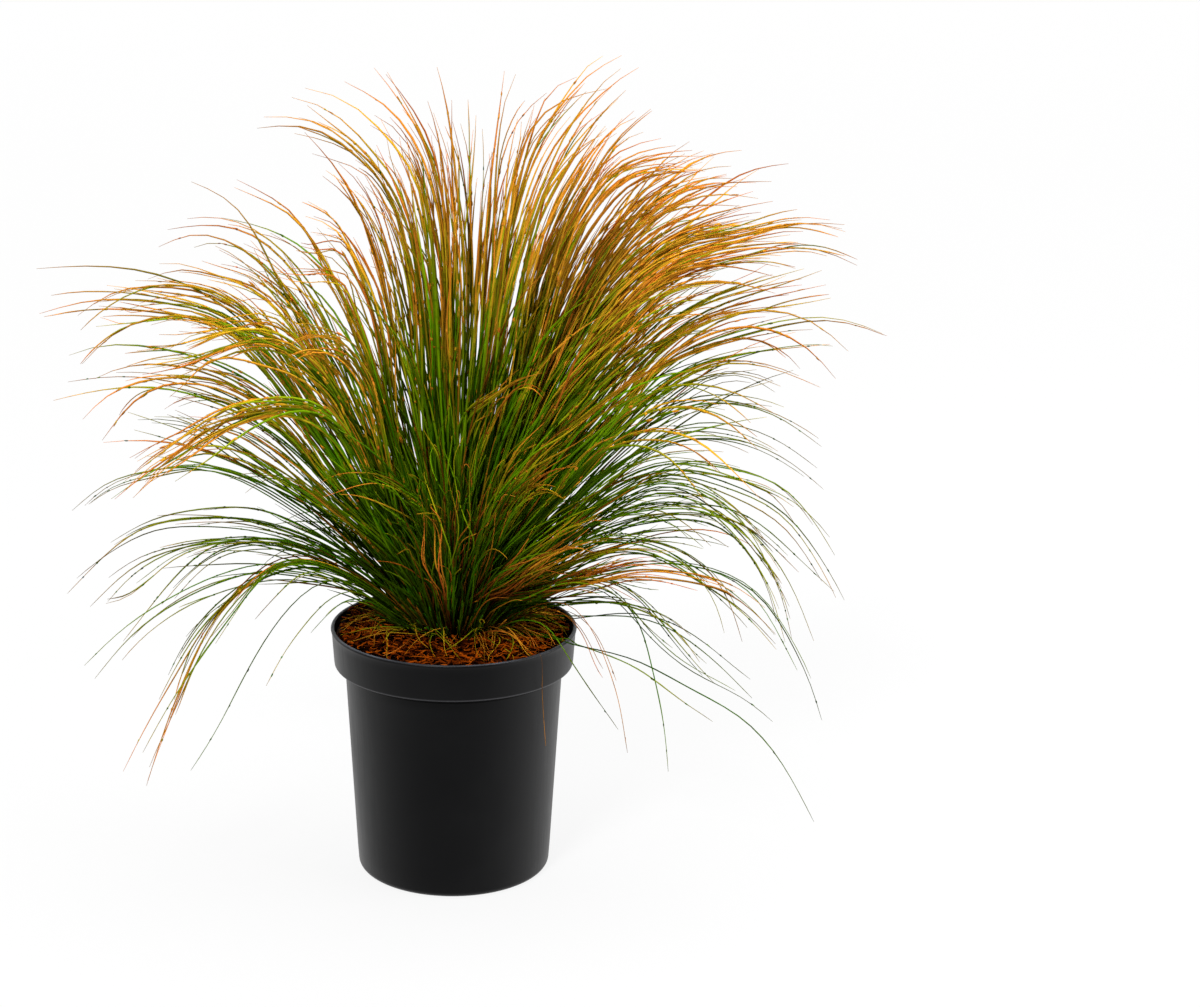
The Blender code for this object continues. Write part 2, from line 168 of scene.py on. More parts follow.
# =====================================================================================
# Mesh building: every blade, awn, fibre and grain is a closed tapering tube
# =====================================================================================
class Soup:
    """Collects the vertices, faces and map coordinates of many closed tubes."""

    def __init__(self):
        self.verts, self.quads, self.quad_uv = [], [], []
        self.tris, self.tri_uv = [], []
        self.count = 0

    def tubes(self, centres, radii, u, v0=0.0, v1=1.0, sides=3, seed=0, u_step=0.0016):
        """centres (n, k, 3), radii (n, k), u (n,): one tube for each row."""
        n, k, _ = centres.shape
        if n == 0:
            return
        rng = np.random.default_rng(seed)
        t = np.gradient(centres, axis=1)
        t /= np.maximum(np.linalg.norm(t, axis=2, keepdims=True), 1e-12)
        ref = rng.normal(size=(n, 3))
        normal = np.empty_like(centres)
        prev = ref - (ref * t[:, 0]).sum(1, keepdims=True) * t[:, 0]
        prev /= np.maximum(np.linalg.norm(prev, axis=1, keepdims=True), 1e-9)
        normal[:, 0] = prev
        for i in range(1, k):
            prev = prev - (prev * t[:, i]).sum(1, keepdims=True) * t[:, i]
            prev /= np.maximum(np.linalg.norm(prev, axis=1, keepdims=True), 1e-9)
            normal[:, i] = prev
        other = np.cross(t, normal)
        ang = 2 * np.pi * np.arange(sides) / sides
        ring = (normal[:, :, None, :] * np.cos(ang)[None, None, :, None]
                + other[:, :, None, :] * np.sin(ang)[None, None, :, None])
        pts = centres[:, :, None, :] + ring * radii[:, :, None, None]
        self.verts.append(pts.reshape(-1, 3))
        base = self.count + (np.arange(n) * k * sides)[:, None, None]
        kk = np.arange(k - 1)[None, :, None]
        ss = np.arange(sides)[None, None, :]
        nx = (ss + 1) % sides
        a = base + kk * sides + ss
        b = base + kk * sides + nx
        c = base + (kk + 1) * sides + nx
        d = base + (kk + 1) * sides + ss
        self.quads.append(np.stack([a, b, c, d], -1).reshape(-1, 4))
        v0 = np.broadcast_to(np.asarray(v0, float), (n,))
        v1 = np.broadcast_to(np.asarray(v1, float), (n,))
        f = np.arange(k) / (k - 1)
        vv = v0[:, None] + (v1 - v0)[:, None] * f[None, :]
        uu0 = u[:, None, None] + ss * u_step + 0 * kk
        uu1 = uu0 + u_step
        va = vv[:, :-1, None] + 0 * ss
        vb = vv[:, 1:, None] + 0 * ss
        uv = np.stack([np.stack([uu0 + 0 * va, va], -1), np.stack([uu1 + 0 * va, va], -1),
                       np.stack([uu1 + 0 * vb, vb], -1), np.stack([uu0 + 0 * vb, vb], -1)], 3)
        self.quad_uv.append(uv.reshape(-1, 4, 2))
        for end in (0, k - 1):                       # close both ends
            idx = base[:, 0, 0][:, None] + end * sides + np.arange(sides)[None, :]
            if end == 0:
                idx = idx[:, ::-1]
            ve = vv[:, end]
            for s in range(1, sides - 1):
                self.tris.append(idx[:, [0, s, s + 1]])
                dv = 0.004 if end == 0 else -0.004
                tri = np.stack([np.stack([u, ve], -1), np.stack([u + 2 * u_step, ve], -1),
                                np.stack([u + u_step, ve + dv], -1)], 1)
                self.tri_uv.append(tri)
        self.count += n * k * sides

    def lumps(self, centres, radii, u, seed=0, squash=(0.55, 1.0)):
        """Small irregular closed grains."""
        rng = np.random.default_rng(seed)
        bm = bmesh.new()
        bmesh.ops.create_icosphere(bm, subdivisions=1, radius=1.0)
        unit = np.array([v.co[:] for v in bm.verts])
        tri = np.array([[v.index for v in f.verts] for f in bm.faces])
        bm.free()
        n, m = len(centres), len(unit)
        shape = unit[None] * (1 + rng.uniform(-0.28, 0.28, (n, m, 1)))
        scale = rng.uniform(squash[0], squash[1], (n, 1, 3))
        shape = shape * scale
        q = rng.normal(size=(n, 4))
        q /= np.linalg.norm(q, axis=1, keepdims=True)
        w, x, y, z = q.T
        rot = np.stack([np.stack([1 - 2 * (y * y + z * z), 2 * (x * y - z * w), 2 * (x * z + y * w)], -1),
                        np.stack([2 * (x * y + z * w), 1 - 2 * (x * x + z * z), 2 * (y * z - x * w)], -1),
                        np.stack([2 * (x * z - y * w), 2 * (y * z + x * w), 1 - 2 * (x * x + y * y)], -1)], 1)
        pts = np.einsum("nij,nmj->nmi", rot, shape) * radii[:, None, None] + centres[:, None]
        self.verts.append(pts.reshape(-1, 3))
        idx = self.count + (np.arange(n) * m)[:, None, None] + tri[None]
        self.tris.append(idx.reshape(-1, 3))
        v = 0.5 + 0.42 * unit[:, 2]
        h = 0.0028 * unit[:, 0]
        uv = np.stack([u[:, None] + h[None, :] + 0.003, np.broadcast_to(v, (n, m))], -1)
        self.tri_uv.append(uv[:, tri].reshape(-1, 3, 2))
        self.count += n * m

    def build(self, name, *materials):
        verts = np.concatenate(self.verts)
        quads = np.concatenate(self.quads) if self.quads else np.zeros((0, 4), int)
        tris = np.concatenate(self.tris) if self.tris else np.zeros((0, 3), int)
        uvs = [np.concatenate(x).reshape(-1, 2) for x in (self.quad_uv, self.tri_uv) if x]
        mesh = bpy.data.meshes.new(name)
        mesh.vertices.add(len(verts))
        mesh.vertices.foreach_set("co", verts.astype(np.float32).ravel())
        loops = np.concatenate([quads.ravel(), tris.ravel()])
        mesh.loops.add(len(loops))
        mesh.loops.foreach_set("vertex_index", loops.astype(np.int32))
        sizes = np.concatenate([np.full(len(quads), 4), np.full(len(tris), 3)])
        starts = np.concatenate([[0], np.cumsum(sizes)[:-1]])
        mesh.polygons.add(len(sizes))
        mesh.polygons.foreach_set("loop_start", starts.astype(np.int32))
        mesh.polygons.foreach_set("use_smooth", np.ones(len(sizes), bool))
        layer = mesh.uv_layers.new(name="OFBake")
        uv = np.clip(np.concatenate(uvs), 0.0, 1.0)
        layer.data.foreach_set("uv", uv.astype(np.float32).ravel())
        mesh.update(calc_edges=True)
        mesh.validate()
        for m in materials:
            mesh.materials.append(m)
        obj = bpy.data.objects.new(name, mesh)
        SCENE.collection.objects.link(obj)
        return obj


def unit(v):
    return v / np.maximum(np.linalg.norm(v, axis=-1, keepdims=True), 1e-12)


# =====================================================================================
# Materials
# =====================================================================================
def ramp_node(nt, stops, factor):
    r = nt.nodes.new("ShaderNodeValToRGB")
    els = r.color_ramp.elements
    while len(els) > 1:
        els.remove(els[-1])
    els[0].position, els[0].color = stops[0][0], (*stops[0][1], 1)
    for pos, col in stops[1:]:
        e = els.new(pos)
        e.color = (*col, 1)
    nt.links.new(factor, r.inputs["Fac"])
    return r.outputs["Color"]


def math_node(nt, op, a, b=None, clamp=False):
    m = nt.nodes.new("ShaderNodeMath")
    m.operation = op
    m.use_clamp = clamp
    for slot_i, x in ((0, a), (1, b)):
        if x is None:
            continue
        if isinstance(x, (int, float)):
            m.inputs[slot_i].default_value = x
        else:
            nt.links.new(x, m.inputs[slot_i])
    return m.outputs[0]


def mix_colour(nt, fac, a, b, blend="MIX"):
    m = nt.nodes.new("ShaderNodeMix")
    m.data_type = "RGBA"
    m.blend_type = blend
    for key, x in (("Factor", fac),):
        if isinstance(x, (int, float)):
            m.inputs[0].default_value = x
        else:
            nt.links.new(x, m.inputs[0])
    for i, x in ((6, a), (7, b)):
        if isinstance(x, tuple):
            m.inputs[i].default_value = (*x, 1)
        else:
            nt.links.new(x, m.inputs[i])
    return m.outputs[2]


def noise_node(nt, vector, scale, detail=2.0, rough=0.5, dims="3D"):
    n = nt.nodes.new("ShaderNodeTexNoise")
    n.noise_dimensions = dims
    n.inputs["Scale"].default_value = scale
    n.inputs["Detail"].default_value = detail
    n.inputs["Roughness"].default_value = rough
    nt.links.new(vector, n.inputs["Vector"])
    return n.outputs["Fac"]


def scaled_uv(nt, sx, sy):
    uv = nt.nodes.new("ShaderNodeUVMap")
    uv.uv_map = "OFBake"
    m = nt.nodes.new("ShaderNodeMapping")
    m.inputs["Scale"].default_value = (sx, sy, 1)
    nt.links.new(uv.outputs[0], m.inputs["Vector"])
    return m.outputs[0]


# the map's columns, 0.005 wide: one band of columns for each kind of blade
CELL = 0.005
BANDS = {"low": (2, 60), "high": (62, 112), "plume": (114, 164), "dead": (166, 180), "sheath": (182, 197)}

LOW = [(0.00, (0.044, 0.024, 0.001)), (0.07, (0.022, 0.042, 0.0)), (0.28, (0.030, 0.066, 0.0)),
       (0.50, (0.046, 0.092, 0.001)), (0.66, (0.077, 0.110, 0.003)), (0.80, (0.113, 0.110, 0.005)),
       (0.91, (0.155, 0.104, 0.006)), (1.00, (0.188, 0.086, 0.008))]
HIGH = [(0.00, (0.044, 0.026, 0.001)), (0.08, (0.022, 0.048, 0.0)), (0.36, (0.040, 0.106, 0.0)),
        (0.61, (0.084, 0.130, 0.001)), (0.75, (0.186, 0.128, 0.003)), (0.86, (0.274, 0.110, 0.006)),
        (0.94, (0.305, 0.094, 0.008)), (1.00, (0.270, 0.078, 0.005))]
PLUME = [(0.00, (0.044, 0.026, 0.001)), (0.10, (0.026, 0.058, 0.0)), (0.42, (0.062, 0.126, 0.001)),
         (0.56, (0.126, 0.154, 0.002)), (0.66, (0.255, 0.158, 0.005)), (0.75, (0.345, 0.144, 0.009)),
         (0.86, (0.352, 0.116, 0.010)), (0.94, (0.330, 0.098, 0.008)), (1.00, (0.265, 0.074, 0.005))]
DEAD = [(0.00, (0.055, 0.014, 0.002)), (0.30, (0.150, 0.042, 0.004)), (0.60, (0.290, 0.088, 0.007)),
        (0.85, (0.400, 0.125, 0.012)), (1.00, (0.470, 0.165, 0.030))]
SHEATH = [(0.00, (0.110, 0.042, 0.010)), (0.35, (0.060, 0.048, 0.006)), (0.70, (0.020, 0.045, 0.002)),
          (1.00, (0.018, 0.060, 0.001))]


def span_node(nt, x, lo, hi, out_lo, out_hi):
    m = nt.nodes.new("ShaderNodeMapRange")
    m.inputs["From Min"].default_value, m.inputs["From Max"].default_value = lo, hi
    m.inputs["To Min"].default_value, m.inputs["To Max"].default_value = out_lo, out_hi
    nt.links.new(x, m.inputs["Value"])
    return m.outputs[0]


def blade_noise(nt, u, v, offset, along, detail=1.0):
    """Noise that is the same all round a blade and differs from blade to blade."""
    c = nt.nodes.new("ShaderNodeCombineXYZ")
    nt.links.new(math_node(nt, "ADD", math_node(nt, "MULTIPLY", u, 431.7), offset), c.inputs[0])
    nt.links.new(math_node(nt, "MULTIPLY", v, along), c.inputs[1])
    c.inputs[2].default_value = offset * 1.7
    return noise_node(nt, c.outputs[0], 1.0, detail, 0.5)


def grass_material():
    mat = bpy.data.materials.new("feather_grass_blades")
    nt = tree_of(mat)
    out = nt.nodes.new("ShaderNodeOutputMaterial")
    pbr = nt.nodes.new("ShaderNodeBsdfPrincipled")
    uv = nt.nodes.new("ShaderNodeUVMap")
    uv.uv_map = "OFBake"
    sep = nt.nodes.new("ShaderNodeSeparateXYZ")
    nt.links.new(uv.outputs[0], sep.inputs[0])
    u, v = sep.outputs["X"], sep.outputs["Y"]
    column = math_node(nt, "SNAP", u, CELL)
    # each blade turns from green to straw a little earlier or later than its neighbours
    drift = span_node(nt, blade_noise(nt, column, v, 0.37, 0.5), 0.28, 0.72, -0.18, 0.17)
    grain = noise_node(nt, scaled_uv(nt, 620, 26), 1.0, 3.0, 0.6)
    drift2 = span_node(nt, grain, 0.2, 0.8, -0.06, 0.06)
    along = math_node(nt, "ADD", math_node(nt, "ADD", v, drift), drift2, clamp=True)
    colours = [ramp_node(nt, s, along) for s in (LOW, HIGH, PLUME, DEAD, SHEATH)]
    colour = colours[0]
    for edge, nxt in zip((61 * CELL, 113 * CELL, 165 * CELL, 181 * CELL), colours[1:]):
        colour = mix_colour(nt, math_node(nt, "GREATER_THAN", u, edge), colour, nxt)
    # brightness differs between blades, in stretches along each, and in small dark patches
    tone = span_node(nt, blade_noise(nt, column, v, 11.3, 1.6), 0.28, 0.72, 0.0, 1.0)
    tone = math_node(nt, "ADD", math_node(nt, "MULTIPLY", math_node(nt, "POWER", tone, 1.6), 2.5), 0.13)
    streak = span_node(nt, grain, 0.30, 0.66, 0.82, 1.12)
    patch = span_node(nt, blade_noise(nt, column, v, 29.1, 62.0, 2.0), 0.33, 0.39, 0.60, 1.0)
    # the plumes are more even
    even_tone = math_node(nt, "POWER", tone, 0.6)
    in_plume = math_node(nt, "MULTIPLY", math_node(nt, "GREATER_THAN", u, 113 * CELL),
                         math_node(nt, "LESS_THAN", u, 165 * CELL))
    tone = math_node(nt, "ADD", math_node(nt, "MULTIPLY", tone, math_node(nt, "SUBTRACT", 1.0, in_plume)),
                     math_node(nt, "MULTIPLY", even_tone, in_plume))
    value = math_node(nt, "MULTIPLY", math_node(nt, "MULTIPLY", tone, streak), patch)
    # painted light: the thin outer ends are kept from going dark, standing in for the light that shines through them,
    # so they vary less
    tall = math_node(nt, "MULTIPLY", math_node(nt, "GREATER_THAN", u, 61 * CELL),
                     math_node(nt, "LESS_THAN", u, 165 * CELL))
    least = math_node(nt, "ADD", math_node(nt, "MULTIPLY", span_node(nt, v, 0.35, 0.95, 0.05, 0.60),
                                           math_node(nt, "SUBTRACT", 1.0, tall)),
                      math_node(nt, "MULTIPLY", span_node(nt, v, 0.28, 0.80, 0.10, 0.82), tall))
    value = math_node(nt, "MINIMUM", math_node(nt, "MAXIMUM", value, least), 1.42)
    hue = span_node(nt, blade_noise(nt, column, v, 47.9, 1.0), 0.25, 0.75, 0.482, 0.532)
    hsv = nt.nodes.new("ShaderNodeHueSaturation")
    hsv.inputs["Saturation"].default_value = 1.0
    nt.links.new(hue, hsv.inputs["Hue"])
    nt.links.new(value, hsv.inputs["Value"])
    nt.links.new(colour, hsv.inputs["Color"])
    nt.links.new(hsv.outputs[0], pbr.inputs["Base Color"])
    nt.links.new(span_node(nt, grain, 0.2, 0.8, 0.46, 0.64), pbr.inputs["Roughness"])
    pbr.inputs["Specular IOR Level"].default_value = 0.04
    pbr.inputs["IOR"].default_value = 1.15
    nt.links.new(pbr.outputs[0], out.inputs[0])
    return mat


def coir_material():
    mat = bpy.data.materials.new("coir_fibre")
    nt = tree_of(mat)
    out = nt.nodes.new("ShaderNodeOutputMaterial")
    pbr = nt.nodes.new("ShaderNodeBsdfPrincipled")
    tone = noise_node(nt, scaled_uv(nt, 120, 0.7), 1.0, 2.0)
    spot = noise_node(nt, scaled_uv(nt, 150, 9.0), 1.0, 3.0, 0.65)
    mixed = math_node(nt, "ADD", math_node(nt, "MULTIPLY", tone, 0.62), math_node(nt, "MULTIPLY", spot, 0.18))
    mixed = math_node(nt, "ADD", mixed, 0.055)
    uv = nt.nodes.new("ShaderNodeUVMap")
    uv.uv_map = "OFBake"
    sep = nt.nodes.new("ShaderNodeSeparateXYZ")
    nt.links.new(uv.outputs[0], sep.inputs[0])
    # painted shade: the map runs from the dark fibres deep in the litter, painted dark for the shade they lie in, to
    # the bright ones on top, painted as lit
    mixed = math_node(nt, "ADD", mixed, span_node(nt, sep.outputs["X"], 0.10, 0.95, -0.20, 0.115))
    mixed = math_node(nt, "ADD", mixed, span_node(nt, sep.outputs["X"], 0.988, 0.992, 0.0, 0.045))
    colour = ramp_node(nt, [(0.37, (0.0018, 0.0004, 0.0)), (0.45, (0.012, 0.0020, 0.0001)),
                            (0.52, (0.050, 0.0075, 0.0002)), (0.60, (0.210, 0.034, 0.0006)),
                            (0.70, (0.440, 0.120, 0.004)), (0.82, (0.460, 0.190, 0.032))], mixed)
    nt.links.new(colour, pbr.inputs["Base Color"])
    pbr.inputs["Roughness"].default_value = 0.55
    pbr.inputs["Specular IOR Level"].default_value = 0.05
    pbr.inputs["IOR"].default_value = 1.15
    nt.links.new(pbr.outputs[0], out.inputs[0])
    return mat


def humus_material(name, lift=1.0):
    mat = bpy.data.materials.new(name)
    nt = tree_of(mat)
    out = nt.nodes.new("ShaderNodeOutputMaterial")
    pbr = nt.nodes.new("ShaderNodeBsdfPrincipled")
    coord = nt.nodes.new("ShaderNodeTexCoord")
    big = noise_node(nt, coord.outputs["Object"], 260.0, 4.0, 0.65)
    fine = noise_node(nt, coord.outputs["Object"], 1500.0, 3.0, 0.6)
    mixed = math_node(nt, "ADD", math_node(nt, "MULTIPLY", big, 0.6), math_node(nt, "MULTIPLY", fine, 0.4))
    colour = ramp_node(nt, [(0.34, tuple(lift * x for x in (0.0020, 0.0008, 0.0004))),
                            (0.52, tuple(lift * x for x in (0.0080, 0.0024, 0.0008))),
                            (0.68, tuple(lift * x for x in (0.0500, 0.0130, 0.0020)))], mixed)
    nt.links.new(colour, pbr.inputs["Base Color"])
    pbr.inputs["Roughness"].default_value = 0.92
    pbr.inputs["Specular IOR Level"].default_value = 0.08
    bump = nt.nodes.new("ShaderNodeBump")
    bump.inputs["Strength"].default_value = 0.7
    bump.inputs["Distance"].default_value = 0.0006
    nt.links.new(mixed, bump.inputs["Height"])
    nt.links.new(bump.outputs[0], pbr.inputs["Normal"])
    nt.links.new(pbr.outputs[0], out.inputs[0])
    return mat


def plastic_material(name="black_moulded_plastic", tint=(0.145, 0.147, 0.152, 1)):
    mat = bpy.data.materials.new(name)
    nt = tree_of(mat)
    out = nt.nodes.new("ShaderNodeOutputMaterial")
    pbr = nt.nodes.new("ShaderNodeBsdfPrincipled")
    coord = nt.nodes.new("ShaderNodeTexCoord")
    cloud = noise_node(nt, coord.outputs["Object"], 26.0, 4.0, 0.55)
    fine = noise_node(nt, coord.outputs["Object"], 2600.0, 2.0, 0.5)
    tall = nt.nodes.new("ShaderNodeMapping")
    tall.inputs["Scale"].default_value = (900, 900, 24)
    nt.links.new(coord.outputs["Object"], tall.inputs["Vector"])
    drag = noise_node(nt, tall.outputs[0], 1.0, 2.0, 0.5)
    colour = ramp_node(nt, [(0.30, (0.0008, 0.0008, 0.0009)), (0.52, (0.0012, 0.0012, 0.0013)),
                            (0.72, (0.0020, 0.0020, 0.0021))], cloud)
    # painted highlights: the collar's lower edge gets a lighter grey line and the rim's top a lighter bluish one,
    # standing in for the light these edges catch; a noise breaks up the rim's line
    part = nt.nodes.new("ShaderNodeSeparateXYZ")
    nt.links.new(coord.outputs["Object"], part.inputs[0])
    low_edge_highlight = span_node(nt, math_node(nt, "ABSOLUTE", math_node(nt, "SUBTRACT", part.outputs["Z"], 0.08035)),
                         0.00018, 0.00046, 1.0, 0.0)
    rim_highlight = span_node(nt, part.outputs["Z"], 0.09385, 0.09412, 0.0, 1.0)
    highlight_breakup = span_node(nt, noise_node(nt, coord.outputs["Object"], 60.0, 1.0, 0.5), 0.40, 0.62, 0.35, 1.0)
    colour = mix_colour(nt, low_edge_highlight, colour, (0.024, 0.024, 0.026))
    colour = mix_colour(nt, math_node(nt, "MULTIPLY", rim_highlight, highlight_breakup), colour, (0.052, 0.056, 0.066))
    nt.links.new(colour, pbr.inputs["Base Color"])
    rough = nt.nodes.new("ShaderNodeMapRange")
    rough.inputs["From Min"].default_value, rough.inputs["From Max"].default_value = 0.3, 0.7
    rough.inputs["To Min"].default_value, rough.inputs["To Max"].default_value = 0.36, 0.48
    nt.links.new(math_node(nt, "ADD", math_node(nt, "MULTIPLY", cloud, 0.6), math_node(nt, "MULTIPLY", drag, 0.4)),
                 rough.inputs["Value"])
    nt.links.new(rough.outputs[0], pbr.inputs["Roughness"])
    pbr.inputs["Specular Tint"].default_value = tint
    bump = nt.nodes.new("ShaderNodeBump")
    bump.inputs["Strength"].default_value = 0.25
    bump.inputs["Distance"].default_value = 0.00006
    nt.links.new(math_node(nt, "ADD", math_node(nt, "MULTIPLY", fine, 0.6), math_node(nt, "MULTIPLY", drag, 0.4)),
                 bump.inputs["Height"])
    nt.links.new(bump.outputs[0], pbr.inputs["Normal"])
    nt.links.new(pbr.outputs[0], out.inputs[0])
    return mat


# =====================================================================================
# The grass: the tufts' centre lines are the frame's, and blades are grown along them
# =====================================================================================
CROWN_R, CROWN_RISE, CROWN_BOTTOM_Z = 20.5 * MM, 9.0 * MM, 88.3 * MM
ROOT_RINGS = {"upright": 3.5 * MM, "upper": 8.5 * MM, "middle": 13.5 * MM, "lower": 18.2 * MM}
SECTOR = {"upright": 90.0, "upper": 40.0, "middle": 30.0, "lower": 18.0}

# name, root ring, azimuth, launch angle, reach, height and angle of the tip (degrees and mm)
TUFTS = [
    ("upright_tuft_right", "upright", 20, 4, 50, 294, 38),
    ("upright_tuft_back", "upright", 110, 3, 22, 296, 16),
    ("upright_tuft_left", "upright", 200, 3, 28, 299.6, 30),
    ("upright_tuft_front", "upright", 290, 4, 26, 268, 34),
    ("upper_tuft_right", "upper", 0, 9, 70, 287, 40),
    ("upper_spray_back_right", "upper", 40, 12, 88, 296, 42),
    ("upper_tuft_back_1", "upper", 80, 10, 84, 272, 58),
    ("upper_tuft_back_2", "upper", 120, 8, 72, 276, 56),
    ("upper_tuft_left_1", "upper", 160, 7, 58, 285, 58),
    ("upper_tuft_left_2", "upper", 200, 8, 70, 281, 74),
    ("upper_tuft_front_left", "upper", 240, 6, 66, 238, 80),
    ("upper_tuft_front", "upper", 280, 6, 58, 246, 80),
    ("upper_tuft_front_right", "upper", 320, 10, 80, 258, 72),
    ("seed_spray_right", "middle", 0, 27, 146, 232, 104),
    ("seed_spray_back_right", "middle", 30, 25, 140, 250, 88),
    ("middle_tuft_back_1", "middle", 60, 24, 132, 232, 96),
    ("middle_tuft_back_2", "middle", 90, 24, 126, 212, 102),
    ("middle_tuft_back_3", "middle", 120, 22, 122, 222, 98),
    ("seed_spray_back_left", "middle", 150, 19, 104, 251, 84),
    ("seed_spray_left", "middle", 180, 27, 149, 212, 100),
    ("middle_tuft_left", "middle", 210, 20, 106, 232, 92),
    ("middle_tuft_front_left", "middle", 240, 18, 88, 204, 96),
    ("middle_tuft_front", "middle", 270, 16, 80, 204, 98),
    ("middle_tuft_front_right", "middle", 300, 18, 92, 208, 96),
    ("seed_spray_front_right", "middle", 330, 24, 128, 238, 96),
    ("lower_tuft_right_1", "lower", 0, 41, 156, 204, 96),
    ("lower_tuft_right_2", "lower", 18, 54, 140, 121, 138),
    ("lower_tuft_right_3", "lower", 36, 47, 148, 162, 116),
    ("lower_tuft_back_1", "lower", 54, 52, 140, 118, 134),
    ("lower_tuft_back_2", "lower", 72, 48, 134, 142, 120),
    ("lower_tuft_back_3", "lower", 90, 52, 124, 96, 142),
    ("lower_tuft_back_4", "lower", 108, 48, 132, 136, 122),
    ("lower_tuft_back_5", "lower", 126, 52, 136, 108, 136),
    ("lower_tuft_left_1", "lower", 144, 50, 142, 100, 138),
    ("lower_tuft_left_2", "lower", 162, 44, 152, 176, 110),
    ("lower_tuft_left_3", "lower", 180, 52, 138, 113, 132),
    ("hanging_spray_left", "lower", 198, 52, 115, 44, 154),
    ("hanging_tuft_left", "lower", 216, 54, 114, 66, 150),
    ("hanging_tuft_front_left", "lower", 234, 50, 88, 96, 148),
    ("lower_tuft_front_1", "lower", 252, 30, 86, 178, 100),
    ("lower_tuft_front_2", "lower", 270, 30, 92, 180, 100),
    ("lower_tuft_front_3", "lower", 288, 30, 90, 180, 100),
    ("hanging_tuft_front_right", "lower", 306, 52, 84, 70, 156),
    ("lower_tuft_right_4", "lower", 324, 38, 134, 186, 104),
    ("hanging_strand_right", "lower", 342, 56, 138, 28, 148),
]

